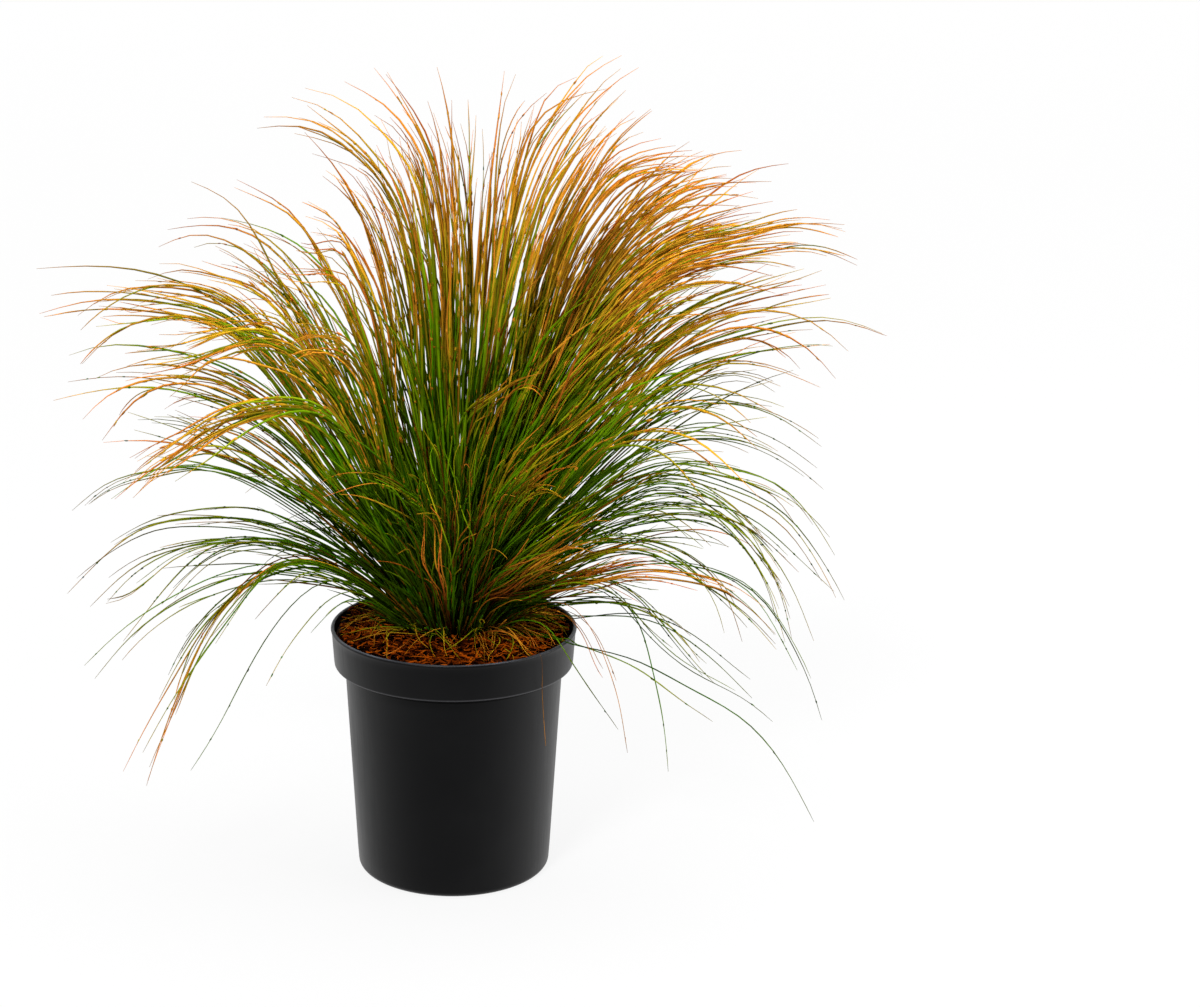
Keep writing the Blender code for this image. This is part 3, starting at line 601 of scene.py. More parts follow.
# The bundles that make the plant's outline. Each belongs to a tuft, leans towards an azimuth, and
# passes the places given, from low on the plant to its tip, as seen in the 1200 x 1007 frame.
# tuft, azimuth, kind, strands, spread (mm), places
BUNDLES = [
    # left, upper half
    ("seed_spray_left", 182, "oat", 11, 4.6, [(345, 470), (290, 385), (246, 335), (205, 312), (160, 303), (110, 299), (75, 302), (39, 311)]),
    ("seed_spray_left", 176, "oat", 5, 3.2, [(330, 430), (265, 335), (228, 304), (190, 290), (150, 287), (118, 291), (76, 315)]),
    ("seed_spray_left", 190, "oat", 6, 3.6, [(340, 470), (270, 370), (228, 328), (190, 318), (150, 321), (115, 337), (84, 366)]),
    ("seed_spray_left", 186, "gold", 6, 4.0, [(348, 480), (280, 380), (240, 340), (205, 320), (165, 316), (130, 325), (100, 318)]),
    ("seed_spray_left", 170, "oat", 5, 3.4, [(352, 430), (305, 340), (257, 288), (218, 275), (180, 268), (147, 277)]),
    ("seed_spray_back_left", 160, "gold", 11, 3.6, [(360, 440), (310, 332), (282, 289), (255, 258), (225, 239), (195, 234), (158, 247)]),
    ("seed_spray_back_left", 152, "gold", 4, 3.0, [(372, 430), (320, 310), (264, 243), (236, 229), (205, 226), (170, 231)]),
    ("seed_spray_back_left", 148, "high", 4, 3.2, [(385, 430), (335, 285), (290, 240), (250, 225), (221, 220)]),
    ("seed_spray_back_left", 158, "high", 2, 2.0, [(350, 430), (290, 305), (262, 245), (238, 208), (214, 190), (192, 180)]),
    ("upper_tuft_left_2", 196, "plume", 4, 2.4, [(395, 440), (342, 295), (314, 242), (290, 213), (265, 199), (235, 186)]),
    ("upper_tuft_left_2", 205, "plume", 5, 3.2, [(400, 440), (375, 300), (355, 258), (332, 228), (306, 218)]),
    ("upper_tuft_left_2", 202, "plume", 4, 3.0, [(396, 440), (368, 300), (350, 262), (338, 247), (318, 249), (300, 245)]),
    ("upper_tuft_left_2", 210, "gold", 8, 3.6, [(400, 450), (368, 340), (352, 300), (336, 276), (312, 273), (292, 274), (268, 268)]),
    ("upper_tuft_left_1", 168, "plume", 5, 3.2, [(425, 420), (406, 250), (385, 186), (360, 158), (330, 134), (295, 124), (256, 127)]),
    ("upper_tuft_left_1", 160, "gold", 5, 3.2, [(424, 420), (402, 240), (378, 180), (352, 153), (325, 141), (294, 134)]),
    ("upper_tuft_left_1", 172, "gold", 10, 4.0, [(424, 430), (408, 265), (388, 205), (366, 172), (340, 160), (312, 152)]),
    ("upper_tuft_left_1", 150, "plume", 3, 2.2, [(432, 420), (412, 240), (386, 178), (360, 146), (335, 126), (306, 104)]),
    ("upper_tuft_left_1", 178, "plume", 3, 2.0, [(420, 440), (386, 300), (362, 225), (341, 181), (322, 155), (303, 134)]),
    ("upper_tuft_left_1", 184, "plume", 3, 2.2, [(418, 440), (384, 290), (366, 232), (346, 198), (322, 177)]),
    ("upper_tuft_left_1", 180, "gold", 7, 3.6, [(420, 440), (398, 300), (380, 240), (364, 206), (346, 184), (326, 170)]),
    ("seed_spray_back_left", 156, "gold", 7, 3.8, [(356, 440), (318, 350), (292, 306), (270, 282), (246, 268), (222, 262)]),
    ("middle_tuft_left", 204, "gold", 3, 4.0, [(386, 510), (330, 416), (290, 376), (262, 352), (240, 340), (212, 342)]),
    # top
    ("upright_tuft_left", 192, "plume", 3, 3.0, [(446, 440), (432, 300), (416, 236), (404, 200), (391, 168), (379, 144)]),
    ("upright_tuft_right", 44, "plume", 6, 3.2, [(474, 440), (486, 290), (494, 220), (503, 178), (514, 146)]),
    ("upright_tuft_left", 168, "plume", 14, 3.4, [(450, 430), (446, 280), (435, 182), (420, 136), (400, 102), (374, 67)]),
    ("upright_tuft_left", 186, "plume", 6, 3.2, [(448, 430), (444, 260), (428, 172), (409, 130), (385, 102), (346, 79)]),
    ("upright_tuft_left", 200, "gold", 6, 3.4, [(445, 430), (438, 280), (424, 190), (408, 152), (390, 132), (372, 122)]),
    ("upright_tuft_left", 210, "high", 5, 3.4, [(444, 440), (430, 300), (414, 230), (402, 192), (390, 158), (386, 138)]),
    ("upright_tuft_back", 130, "plume", 3, 2.0, [(460, 430), (460, 270), (453, 175), (446, 112), (436, 65)]),
    ("upright_tuft_back", 112, "plume", 2, 1.6, [(456, 430), (456, 260), (452, 160), (450, 100)]),
    ("upright_tuft_back", 120, "plume", 4, 2.2, [(452, 430), (450, 270), (444, 170), (436, 122), (429, 100)]),
    ("upright_tuft_back", 70, "high", 2, 2.0, [(468, 440), (468, 300), (465, 220), (460, 160), (452, 122)]),
    ("upright_tuft_right", 40, "plume", 4, 2.4, [(474, 440), (484, 280), (490, 170), (497, 118), (505, 71)]),
    ("upright_tuft_right", 60, "high", 5, 3.4, [(472, 440), (479, 290), (481, 220), (483, 160), (482, 128)]),
    ("upright_tuft_right", 20, "plume", 4, 3.0, [(476, 450), (500, 280), (517, 187), (535, 120), (553, 88), (577, 77)]),
    ("upright_tuft_right", 10, "plume", 5, 3.0, [(478, 450), (503, 260), (515, 170), (533, 124), (562, 100), (607, 87)]),
    ("upright_tuft_right", 30, "gold", 4, 3.4, [(476, 450), (494, 270), (499, 180), (511, 138), (526, 113), (547, 94)]),
    ("upright_tuft_front", 300, "plume", 6, 3.2, [(470, 470), (486, 330), (500, 240), (512, 185), (524, 150), (534, 106)]),
    ("upright_tuft_front", 250, "gold", 6, 3.0, [(446, 470), (438, 330), (432, 250), (424, 200), (412, 160), (400, 146)]),
    ("upper_tuft_right", 6, "plume", 15, 4.4, [(484, 470), (508, 300), (535, 194), (562, 142), (600, 99), (640, 66)]),
    ("upper_tuft_right", 350, "plume", 8, 3.6, [(486, 470), (516, 310), (546, 205), (573, 155), (597, 117), (625, 89)]),
    ("upper_tuft_right", 14, "plume", 5, 3.0, [(484, 460), (512, 290), (545, 196), (572, 158), (605, 127)]),
    ("upper_spray_back_right", 30, "plume", 8, 3.6, [(495, 470), (545, 275), (580, 201), (605, 158), (630, 128), (652, 109)]),
    ("upper_spray_back_right", 38, "plume", 6, 3.0, [(495, 470), (548, 270), (582, 200), (604, 163), (622, 142), (644, 132)]),
    ("upper_spray_back_right", 24, "plume", 7, 3.0, [(497, 470), (552, 270), (588, 198), (612, 167), (640, 152), (675, 145)]),
    ("upper_spray_back_right", 16, "silk", 13, 2.8, [(500, 475), (556, 272), (585, 212), (612, 178), (645, 163), (702, 160)]),
    ("upper_spray_back_right", 10, "silk", 9, 3.2, [(502, 480), (560, 280), (590, 216), (620, 182), (655, 168), (694, 169)]),
    ("upper_spray_back_right", 20, "silk", 6, 3.6, [(500, 478), (560, 280), (596, 218), (626, 184), (660, 172), (700, 172)]),
    # right, upper half
    ("seed_spray_back_right", 32, "silk", 7, 4.0, [(505, 480), (572, 300), (612, 236), (648, 204), (690, 186), (736, 184)]),
    ("seed_spray_back_right", 20, "silk", 10, 4.0, [(508, 485), (578, 306), (620, 240), (656, 218), (694, 206), (740, 206)]),
    ("seed_spray_right", 356, "silk", 6, 4.4, [(512, 510), (590, 392), (640, 332), (680, 300), (722, 290)]),
    ("seed_spray_right", 4, "silk", 9, 3.6, [(512, 505), (590, 362), (644, 294), (684, 268), (726, 262)]),
    ("seed_spray_right", 10, "silk", 10, 4.0, [(512, 500), (590, 350), (640, 280), (676, 248), (720, 240), (770, 236)]),
    ("lower_tuft_right_1", 356, "oat", 6, 3.2, [(518, 530), (600, 420), (650, 358), (690, 326), (728, 312), (770, 312)]),
    ("seed_spray_back_right", 34, "plume", 5, 2.6, [(505, 480), (590, 290), (640, 213), (672, 177), (702, 156), (741, 150)]),
    ("seed_spray_back_right", 40, "plume", 4, 2.4, [(508, 480), (600, 300), (662, 236), (700, 203), (742, 174), (786, 166)]),
    ("seed_spray_back_right", 28, "plume", 7, 3.4, [(508, 480), (590, 300), (638, 224), (664, 199), (697, 182), (726, 178)]),
    ("seed_spray_back_right", 22, "silk", 12, 3.8, [(510, 480), (585, 310), (632, 242), (668, 212), (705, 196), (758, 198)]),
    ("seed_spray_back_right", 16, "silk", 14, 4.4, [(510, 490), (586, 316), (636, 250), (680, 224), (724, 211), (772, 203)]),
    ("seed_spray_back_right", 46, "plume", 7, 3.6, [(508, 490), (590, 330), (640, 270), (680, 240), (716, 228), (756, 221)]),
    ("seed_spray_right", 8, "silk", 17, 4.6, [(510, 500), (570, 370), (622, 296), (680, 253), (742, 237), (798, 225), (842, 231)]),
    ("seed_spray_right", 0, "silk", 18, 4.8, [(510, 505), (576, 376), (630, 305), (690, 267), (750, 253), (808, 246), (858, 263)]),
    ("seed_spray_right", 354, "silk", 16, 4.4, [(512, 510), (580, 378), (628, 314), (680, 277), (732, 262), (772, 260), (796, 265)]),
    ("seed_spray_right", 348, "silk", 12, 4.2, [(512, 515), (585, 380), (640, 312), (684, 284), (726, 279), (776, 291)]),
    ("seed_spray_right", 12, "high", 4, 3.6, [(512, 500), (600, 380), (664, 318), (712, 290), (748, 276), (768, 264)]),
    ("seed_spray_right", 2, "oat", 12, 3.8, [(514, 520), (600, 405), (652, 348), (700, 317), (756, 300), (826, 286)]),
    ("lower_tuft_right_1", 4, "high", 6, 2.6, [(516, 530), (600, 430), (660, 368), (712, 344), (770, 328), (832, 321), (886, 336)]),
    ("lower_tuft_right_1", 352, "oat", 9, 3.2, [(518, 530), (605, 430), (652, 370), (700, 338), (748, 326), (790, 337), (815, 356), (834, 379)]),
    ("lower_tuft_right_1", 8, "high", 6, 3.4, [(518, 535), (610, 440), (665, 385), (716, 359), (768, 350), (830, 346)]),
    ("lower_tuft_right_1", 346, "high", 6, 3.4, [(520, 540), (612, 440), (668, 388), (718, 365), (766, 367), (820, 388)]),
    ("lower_tuft_right_1", 12, "low", 4, 2.6, [(520, 540), (625, 440), (682, 398), (718, 378), (748, 380), (774, 394)]),
    ("lower_tuft_right_3", 24, "low", 2, 2.0, [(522, 550), (620, 460), (680, 414), (722, 396), (772, 382)]),
    ("lower_tuft_right_3", 20, "low", 4, 3.0, [(525, 550), (620, 450), (672, 410), (724, 403), (774, 416), (822, 447)]),
    ("lower_tuft_right_3", 28, "low", 6, 4.2, [(525, 555), (620, 470), (672, 440), (722, 437), (772, 454), (822, 490)]),
    ("seed_spray_front_right", 330, "oat", 5, 3.0, [(500, 560), (562, 492), (608, 442), (650, 413), (687, 407), (722, 419), (757, 450)]),
    ("seed_spray_front_right", 322, "oat", 4, 3.0, [(500, 565), (560, 500), (606, 448), (652, 431), (694, 439), (730, 466), (761, 498)]),
    ("seed_spray_front_right", 336, "gold", 12, 4.0, [(495, 540), (548, 450), (600, 405), (645, 372), (690, 350), (732, 340)]),
    ("seed_spray_front_right", 342, "oat", 14, 4.4, [(495, 530), (550, 420), (600, 360), (640, 330), (680, 316), (722, 318)]),
    # right, lower half
    ("lower_tuft_right_2", 10, "low", 5, 4.2, [(528, 565), (610, 488), (668, 464), (726, 467), (775, 482), (808, 512), (836, 556)]),
    ("lower_tuft_right_2", 2, "low", 6, 4.2, [(528, 570), (610, 492), (668, 470), (728, 484), (785, 514), (820, 560), (843, 602)]),
    ("lower_tuft_right_2", 16, "low", 8, 4.6, [(530, 570), (608, 505), (664, 482), (716, 503), (762, 546), (792, 592), (812, 642)]),
    ("lower_tuft_right_2", 24, "low", 8, 4.6, [(530, 575), (610, 510), (660, 496), (714, 508), (752, 542), (778, 588), (792, 640)]),
    ("lower_tuft_right_2", 18, "low", 4, 3.4, [(530, 575), (610, 520), (668, 505), (732, 511), (782, 545), (832, 592)]),
    ("lower_tuft_right_4", 336, "low", 7, 4.4, [(528, 580), (606, 532), (662, 520), (712, 524), (750, 552), (772, 592), (786, 642)]),
    ("lower_tuft_right_4", 330, "low", 8, 5.0, [(522, 590), (600, 540), (650, 540), (690, 556), (722, 590), (742, 642)]),
    ("lower_tuft_right_4", 344, "low", 5, 3.6, [(525, 590), (600, 552), (648, 552), (700, 580), (740, 610), (776, 650)]),
    ("lower_tuft_right_4", 326, "rust", 9, 2.8, [(500, 606), (530, 594), (566, 582), (604, 571), (640, 564), (682, 570)]),
    ("lower_tuft_right_4", 332, "tan", 3, 2.0, [(520, 598), (580, 578), (640, 564), (700, 567), (752, 590), (790, 640), (812, 684), (823, 720)]),
    ("lower_tuft_right_4", 320, "rust", 4, 2.6, [(500, 606), (560, 590), (620, 577), (680, 580), (730, 596), (776, 634)]),
    ("hanging_strand_right", 344, "tan", 3, 3.0, [(545, 606), (595, 588), (640, 626), (690, 668), (742, 697), (772, 722)]),
    ("hanging_strand_right", 350, "tan", 3, 3.2, [(545, 600), (600, 578), (636, 594), (668, 630), (698, 664), (716, 682)]),
    ("hanging_strand_right", 338, "tan", 2, 1.4, [(540, 622), (580, 617), (640, 618), (692, 642), (730, 676), (752, 698)]),
    ("hanging_strand_right", 331, "drape", 2, 1.0, [(540, 640), (575, 646), (630, 658), (690, 688), (742, 718), (782, 762), (815, 821)]),
    ("hanging_tuft_front_right", 345, "tan", 1, 1.0, [(545, 600), (600, 588), (632, 612), (650, 660), (663, 720), (668, 772)]),
    ("hanging_tuft_front_right", 325, "wisp", 1, 1.0, [(530, 612), (562, 604), (586, 624), (606, 666), (619, 712), (626, 753)]),
    ("hanging_tuft_front_right", 318, "tan", 1, 1.0, [(520, 622), (545, 626), (562, 648), (590, 690), (618, 730)]),
    ("hanging_tuft_front_right", 322, "wisp", 2, 1.6, [(530, 612), (560, 612), (580, 632), (596, 668), (602, 678)]),
    ("hanging_tuft_front_right", 330, "wisp", 1, 1.0, [(535, 612), (570, 612), (594, 632), (607, 658), (616, 681)]),
    ("lower_tuft_right_4", 334, "low", 6, 3.6, [(520, 610), (560, 603), (600, 602), (640, 610), (676, 632), (700, 662)]),
    ("lower_tuft_right_4", 324, "wire", 9, 3.6, [(496, 610), (534, 596), (574, 584), (620, 578), (668, 584)]),
    ("lower_tuft_right_2", 6, "low", 4, 3.0, [(528, 570), (590, 520), (640, 508), (680, 520), (712, 546)]),
    # left, lower half
    ("lower_tuft_left_2", 168, "low", 5, 3.4, [(370, 540), (318, 490), (276, 452), (240, 432), (206, 428), (176, 438)]),
    ("lower_tuft_left_1", 166, "low", 5, 3.0, [(370, 560), (330, 510), (296, 486), (262, 476), (230, 478)]),
    ("lower_tuft_left_2", 166, "high", 5, 3.4, [(372, 540), (320, 476), (272, 432), (212, 401), (160, 388), (110, 388), (52, 401)]),
    ("lower_tuft_left_2", 172, "oat", 9, 3.6, [(368, 530), (320, 462), (272, 410), (230, 386), (190, 378), (140, 384), (106, 400), (83, 421)]),
    ("lower_tuft_left_2", 178, "oat", 3, 1.8, [(366, 530), (312, 460), (262, 412), (212, 388), (164, 386), (132, 402), (100, 440)]),
    ("lower_tuft_left_2", 158, "high", 6, 4.4, [(372, 540), (318, 470), (272, 424), (226, 402), (190, 398), (165, 410)]),
    ("lower_tuft_left_2", 182, "low", 3, 1.6, [(368, 545), (300, 498), (248, 468), (206, 440), (162, 422), (128, 411)]),
    ("middle_tuft_left", 205, "oat", 16, 3.4, [(388, 520), (338, 408), (302, 362), (266, 343), (232, 346), (190, 363), (142, 373)]),
    ("middle_tuft_left", 212, "oat", 5, 3.0, [(388, 520), (340, 420), (300, 376), (256, 362), (212, 358), (186, 380), (168, 396)]),
    ("middle_tuft_left", 198, "gold", 9, 4.2, [(384, 500), (332, 384), (296, 340), (262, 322), (232, 330), (206, 334), (178, 332)]),
    ("middle_tuft_left", 216, "oat", 9, 3.0, [(398, 520), (372, 408), (350, 366), (330, 352), (306, 352), (288, 362)]),
    ("middle_tuft_left", 208, "oat", 8, 2.8, [(398, 510), (372, 390), (350, 350), (326, 338), (300, 340), (282, 354)]),
    ("middle_tuft_left", 220, "oat", 15, 3.4, [(394, 550), (352, 450), (322, 418), (288, 408), (250, 413), (212, 428), (178, 450), (148, 470), (114, 498)]),
    ("middle_tuft_left", 214, "gold", 7, 3.4, [(388, 560), (316, 500), (262, 464), (222, 448), (186, 450), (156, 465), (126, 492)]),
    ("lower_tuft_left_1", 160, "low", 5, 4.0, [(370, 570), (300, 510), (246, 478), (196, 466), (150, 472), (108, 485), (72, 511)]),
    ("lower_tuft_left_1", 152, "low", 5, 4.6, [(372, 575), (310, 530), (256, 508), (200, 508), (152, 520), (112, 542)]),
    ("lower_tuft_left_1", 156, "low", 5, 4.2, [(370, 580), (310, 540), (256, 521), (200, 517), (150, 525), (106, 554), (68, 592)]),
    ("lower_tuft_left_3", 176, "low", 5, 3.8, [(370, 590), (320, 562), (276, 545), (226, 541), (178, 548), (134, 566), (90, 606)]),
    ("lower_tuft_left_3", 184, "low", 4, 3.8, [(370, 590), (312, 552), (262, 541), (214, 546), (172, 562), (126, 598), (106, 604)]),
    ("lower_tuft_left_3", 188, "low", 4, 3.0, [(372, 600), (320, 578), (276, 571), (226, 580), (176, 602), (132, 634), (93, 678)]),
    ("lower_tuft_left_3", 180, "low", 4, 3.0, [(370, 590), (312, 548), (262, 538), (218, 545), (176, 576), (122, 640)]),
    ("hanging_spray_left", 198, "spray", 7, 1.4, [(372, 598), (330, 569), (290, 562), (250, 582), (214, 622), (190, 668), (166, 730), (148, 786)]),
    ("hanging_spray_left", 202, "low", 3, 2.6, [(372, 600), (325, 570), (282, 565), (242, 603), (204, 654), (172, 702), (142, 752)]),
    ("hanging_spray_left", 194, "low", 3, 2.6, [(372, 598), (322, 568), (268, 575), (222, 606), (192, 640), (160, 700)]),
    ("hanging_tuft_left", 212, "tan", 1, 1.6, [(376, 604), (350, 584), (322, 584), (292, 606), (262, 646), (226, 712), (190, 770)]),
    ("hanging_tuft_left", 220, "tan", 1, 1.4, [(382, 608), (358, 592), (334, 597), (306, 624), (282, 656), (266, 686)]),
    ("hanging_tuft_left", 206, "low", 2, 3.4, [(376, 602), (342, 580), (306, 572), (278, 594), (256, 620)]),
    ("hanging_tuft_front_left", 228, "tan", 2, 1.4, [(386, 612), (362, 600), (342, 603), (322, 620), (311, 633)]),
    # front
    ("upper_tuft_front", 296, "gold", 5, 2.2, [(458, 500), (462, 440), (470, 416), (490, 397), (516, 380), (542, 372)]),
    ("upper_tuft_front", 302, "gold", 4, 2.2, [(462, 510), (474, 440), (484, 416), (498, 400), (510, 396)]),
    ("upper_tuft_front", 306, "gold", 4, 2.6, [(470, 500), (494, 420), (510, 392), (528, 384), (542, 394)]),
    ("lower_tuft_front_3", 300, "gold", 8, 3.4, [(478, 560), (494, 510), (514, 476), (536, 452), (566, 434), (594, 414)]),
    ("lower_tuft_front_3", 306, "gold", 8, 3.4, [(480, 570), (500, 520), (526, 488), (552, 470), (576, 466)]),
    ("lower_tuft_front_3", 312, "rust", 9, 3.2, [(478, 604), (502, 590), (526, 572), (556, 554), (590, 540)]),
    ("lower_tuft_front_3", 308, "gold", 6, 3.4, [(482, 570), (508, 514), (530, 494), (552, 492), (566, 498)]),
    ("lower_tuft_front_3", 310, "straw", 10, 4.0, [(476, 604), (500, 578), (530, 554), (565, 534), (604, 518)]),
    ("lower_tuft_front_3", 304, "straw", 8, 4.4, [(470, 590), (484, 548), (506, 510), (534, 478), (570, 452)]),
    ("lower_tuft_front_3", 298, "straw", 6, 3.6, [(466, 590), (474, 540), (488, 496), (508, 462), (532, 440)]),
    ("lower_tuft_right_4", 328, "straw", 10, 3.6, [(492, 606), (530, 584), (572, 566), (622, 550), (676, 552)]),
    ("lower_tuft_right_4", 322, "straw", 7, 3.2, [(494, 610), (528, 594), (562, 584), (600, 584), (640, 602)]),
    ("lower_tuft_front_2", 264, "ember", 5, 4.0, [(446, 612), (441, 585), (437, 560), (440, 535), (430, 505)]),
    ("lower_tuft_front_2", 280, "ember", 5, 4.0, [(456, 616), (462, 588), (466, 560), (474, 530), (490, 505)]),
    ("lower_tuft_front_3", 306, "ember", 7, 4.0, [(462, 618), (480, 596), (502, 578), (530, 560), (556, 548)]),
    ("lower_tuft_front_3", 300, "ember", 5, 4.0, [(460, 616), (474, 590), (490, 566), (500, 540), (508, 510)]),
    ("lower_tuft_front_2", 268, "wire", 5, 5.0, [(450, 600), (452, 560), (452, 520), (448, 480), (452, 440), (462, 416)]),
    ("lower_tuft_front_2", 276, "wire", 4, 5.0, [(456, 600), (466, 560), (470, 520), (468, 480), (476, 450)]),
    ("lower_tuft_front_1", 250, "wire", 6, 5.0, [(446, 600), (436, 560), (424, 520), (402, 490), (376, 474)]),
    ("lower_tuft_front_1", 256, "wire", 5, 4.0, [(448, 604), (442, 570), (436, 540), (424, 512), (410, 500)]),
    ("lower_tuft_front_3", 300, "wire", 8, 6.0, [(470, 596), (484, 556), (506, 514), (530, 480), (566, 448)]),
    ("lower_tuft_front_3", 292, "wire", 5, 5.0, [(464, 600), (474, 560), (488, 520), (500, 484), (520, 450)]),
    ("lower_tuft_front_3", 309, "wire", 8, 5.0, [(474, 604), (498, 572), (528, 540), (560, 512), (600, 492)]),
    ("lower_tuft_front_1", 240, "thin", 3, 2.2, [(444, 560), (430, 520), (404, 494), (374, 484), (346, 490), (322, 498)]),
    ("lower_tuft_front_1", 234, "thin", 3, 2.0, [(440, 560), (418, 500), (388, 478), (356, 473), (336, 476), (322, 484)]),
    ("lower_tuft_front_1", 246, "thin", 3, 2.2, [(444, 570), (420, 528), (392, 508), (362, 497), (338, 495)]),
    ("lower_tuft_front_2", 262, "thin", 3, 2.2, [(450, 580), (452, 545), (448, 520), (440, 508), (434, 504)]),
]

# kind: map column of the strands, stretch of the column, hairs a strand, thickness (mm),
# then nodes or florets: number a strand, band, length (mm), how far they lean off
KINDS = {
    "low": ("low", 0.00, 0.97, 0.2, (0.23, 0.32), 4, "low", (1.0, 1.8), 0.06),
    "high": ("high", 0.00, 0.94, 0.3, (0.30, 0.42), 3, "low", (1.1, 2.0), 0.08),
    "gold": ("high", 0.09, 1.00, 0.6, (0.34, 0.46), 3, "dead", (1.2, 2.4), 0.14),
    "thin": ("plume", 0.12, 0.56, 0.0, (0.19, 0.27), 4, "high", (1.0, 1.8), 0.10),
    "plume": ("plume", 0.00, 0.95, 1.0, (0.36, 0.48), 4, "plume", (1.4, 3.2), 0.20),
    "silk": ("plume", 0.04, 1.00, 2.0, (0.38, 0.50), 5, "plume", (1.6, 3.8), 0.24),
    "oat": ("plume", 0.00, 0.78, 1.4, (0.35, 0.47), 5, "plume", (1.6, 3.6), 0.22),
    "straw": ("high", 0.44, 0.86, 0.2, (0.24, 0.34), 3, "dead", (1.0, 2.0), 0.10),
    "wire": ("high", 0.22, 0.76, 0.0, (0.20, 0.28), 3, "high", (1.0, 2.0), 0.16),
    "wisp": ("dead", 0.05, 0.60, 0.0, (0.13, 0.18), 2, "dead", (1.0, 1.6), 0.10),
    "ember": ("dead", 0.14, 0.72, 0.0, (0.21, 0.29), 2, "dead", (1.0, 2.0), 0.14),
    "rust": ("dead", 0.00, 0.80, 0.6, (0.26, 0.38), 3, "dead", (1.2, 2.4), 0.12),
    "spray": ("plume", 0.26, 1.00, 0.3, (0.24, 0.34), 2, "plume", (1.2, 2.4), 0.10),
    "tan": ("low", 0.15, 0.78, 0.0, (0.18, 0.25), 3, "low", (1.0, 1.8), 0.08),
    "drape": ("low", 0.12, 0.84, 0.0, (0.22, 0.30), 4, "low", (1.0, 1.8), 0.06),
}
# kind: wander, ripple and swirl of its strands about one another, how far the ends part and droop
UNREST = {"gold": (1.2, 0.9, 1.6, 0.025, 0.10), "plume": (1.2, 1.0, 1.6, 0.025, 0.12),
          "silk": (1.2, 1.3, 2.4, 0.026, 0.12), "oat": (1.2, 1.2, 2.0, 0.026, 0.12), "straw": (1.6, 1.2, 1.8, 0.030, 0.05),
          "wisp": (0.9, 0.4, 0.6, 0.02, 0.05), "wire": (2.3, 1.0, 2.6, 0.055, 0.05), "ember": (2.0, 1.0, 2.0, 0.055, 0.05),
          "rust": (1.4, 0.8, 1.6, 0.02, 0.10), "thin": (1.6, 0.8, 1.2, 0.03, 0.10),
          "tan": (0.7, 0.2, 0.4, 0.015, 0.0), "drape": (0.7, 0.2, 0.4, 0.015, 0.0)}
RINGS = 28                         # rings of points along a strand of a bundle

EYE = Vector((0, 0, CAM_AIM_Z)) - Vector((0, math.cos(CAM_PITCH), -math.sin(CAM_PITCH))) * CAM_DISTANCE
SAMPLES = 44                       # points on each centre line


def sight(x, y, az):
    """Reach and height of the point seen at (x, y), on the upright plane at an azimuth."""
    cp, sp = math.cos(CAM_PITCH), math.sin(CAM_PITCH)
    pan = math.atan((600.0 - POT_AXIS_PX) / FOCAL_PX)
    forward, up, right = Vector((0, cp, -sp)), Vector((0, sp, cp)), Vector((1, 0, 0))
    fwd = forward * math.cos(pan) + right * math.sin(pan)
    rgt = right * math.cos(pan) - forward * math.sin(pan)
    ray = fwd + rgt * ((x - 600.0) / FOCAL_PX) - up * ((y - 503.5) / FOCAL_PX)
    across = Vector((-math.sin(az), math.cos(az), 0))
    place = EYE - ray * (EYE.dot(across) / ray.dot(across))
    return place.x * math.cos(az) + place.y * math.sin(az), place.z


def crown_height(r):
    return CROWN_BOTTOM_Z + CROWN_RISE * np.sqrt(np.maximum(0.0, 1 - (r / CROWN_R) ** 2))


def crowd(place):
    """The clump's feet crowd together a little behind the pot's middle."""
    place = np.array(place, float)
    place[..., 0] *= 0.82
    place[..., 1] = place[..., 1] * 0.55 + 8.0 * MM
    return place


def lean(az, angle):
    """Unit vectors at an angle from the vertical, leaning towards an azimuth (arrays, radians)."""
    return np.stack([np.cos(az) * np.sin(angle), np.sin(az) * np.sin(angle), np.cos(angle)], -1)


def flat(az):
    return np.stack([np.cos(az), np.sin(az), np.zeros_like(az)], -1)


def smooth_line(points):
    """A natural cubic through points (m, 2), sampled evenly: (SAMPLES, 2)."""
    p = np.asarray(points, float)
    m = len(p)
    s = np.concatenate([[0], np.cumsum(np.linalg.norm(np.diff(p, axis=0), axis=1) ** 0.75)])
    h = np.diff(s)
    a = np.eye(m)
    b = np.zeros((m, 2))
    for i in range(1, m - 1):
        a[i, i - 1], a[i, i], a[i, i + 1] = h[i - 1], 2 * (h[i - 1] + h[i]), h[i]
        b[i] = 6 * ((p[i + 1] - p[i]) / h[i] - (p[i] - p[i - 1]) / h[i - 1])
    c = np.linalg.solve(a, b)
    q = np.linspace(0, s[-1], 4 * SAMPLES)
    i = np.clip(np.searchsorted(s, q) - 1, 0, m - 2)
    d = (q - s[i])[:, None]
    hi = h[i][:, None]
    y = (c[i] * (hi - d) ** 3 / (6 * hi) + c[i + 1] * d ** 3 / (6 * hi)
         + (p[i] / hi - c[i] * hi / 6) * (hi - d) + (p[i + 1] / hi - c[i + 1] * hi / 6) * d)
    return y


def even(lines):
    """Resample lines (n, m, 3) to SAMPLES points at equal distances."""
    step = np.linalg.norm(np.diff(lines, axis=1), axis=2)
    s = np.concatenate([np.zeros((len(lines), 1)), np.cumsum(step, 1)], 1)
    out = np.empty((len(lines), SAMPLES, 3))
    q = np.linspace(0, 1, SAMPLES)
    for i in range(len(lines)):
        for j in range(3):
            out[i, :, j] = np.interp(q * s[i, -1], s[i], lines[i, :, j])
    return out


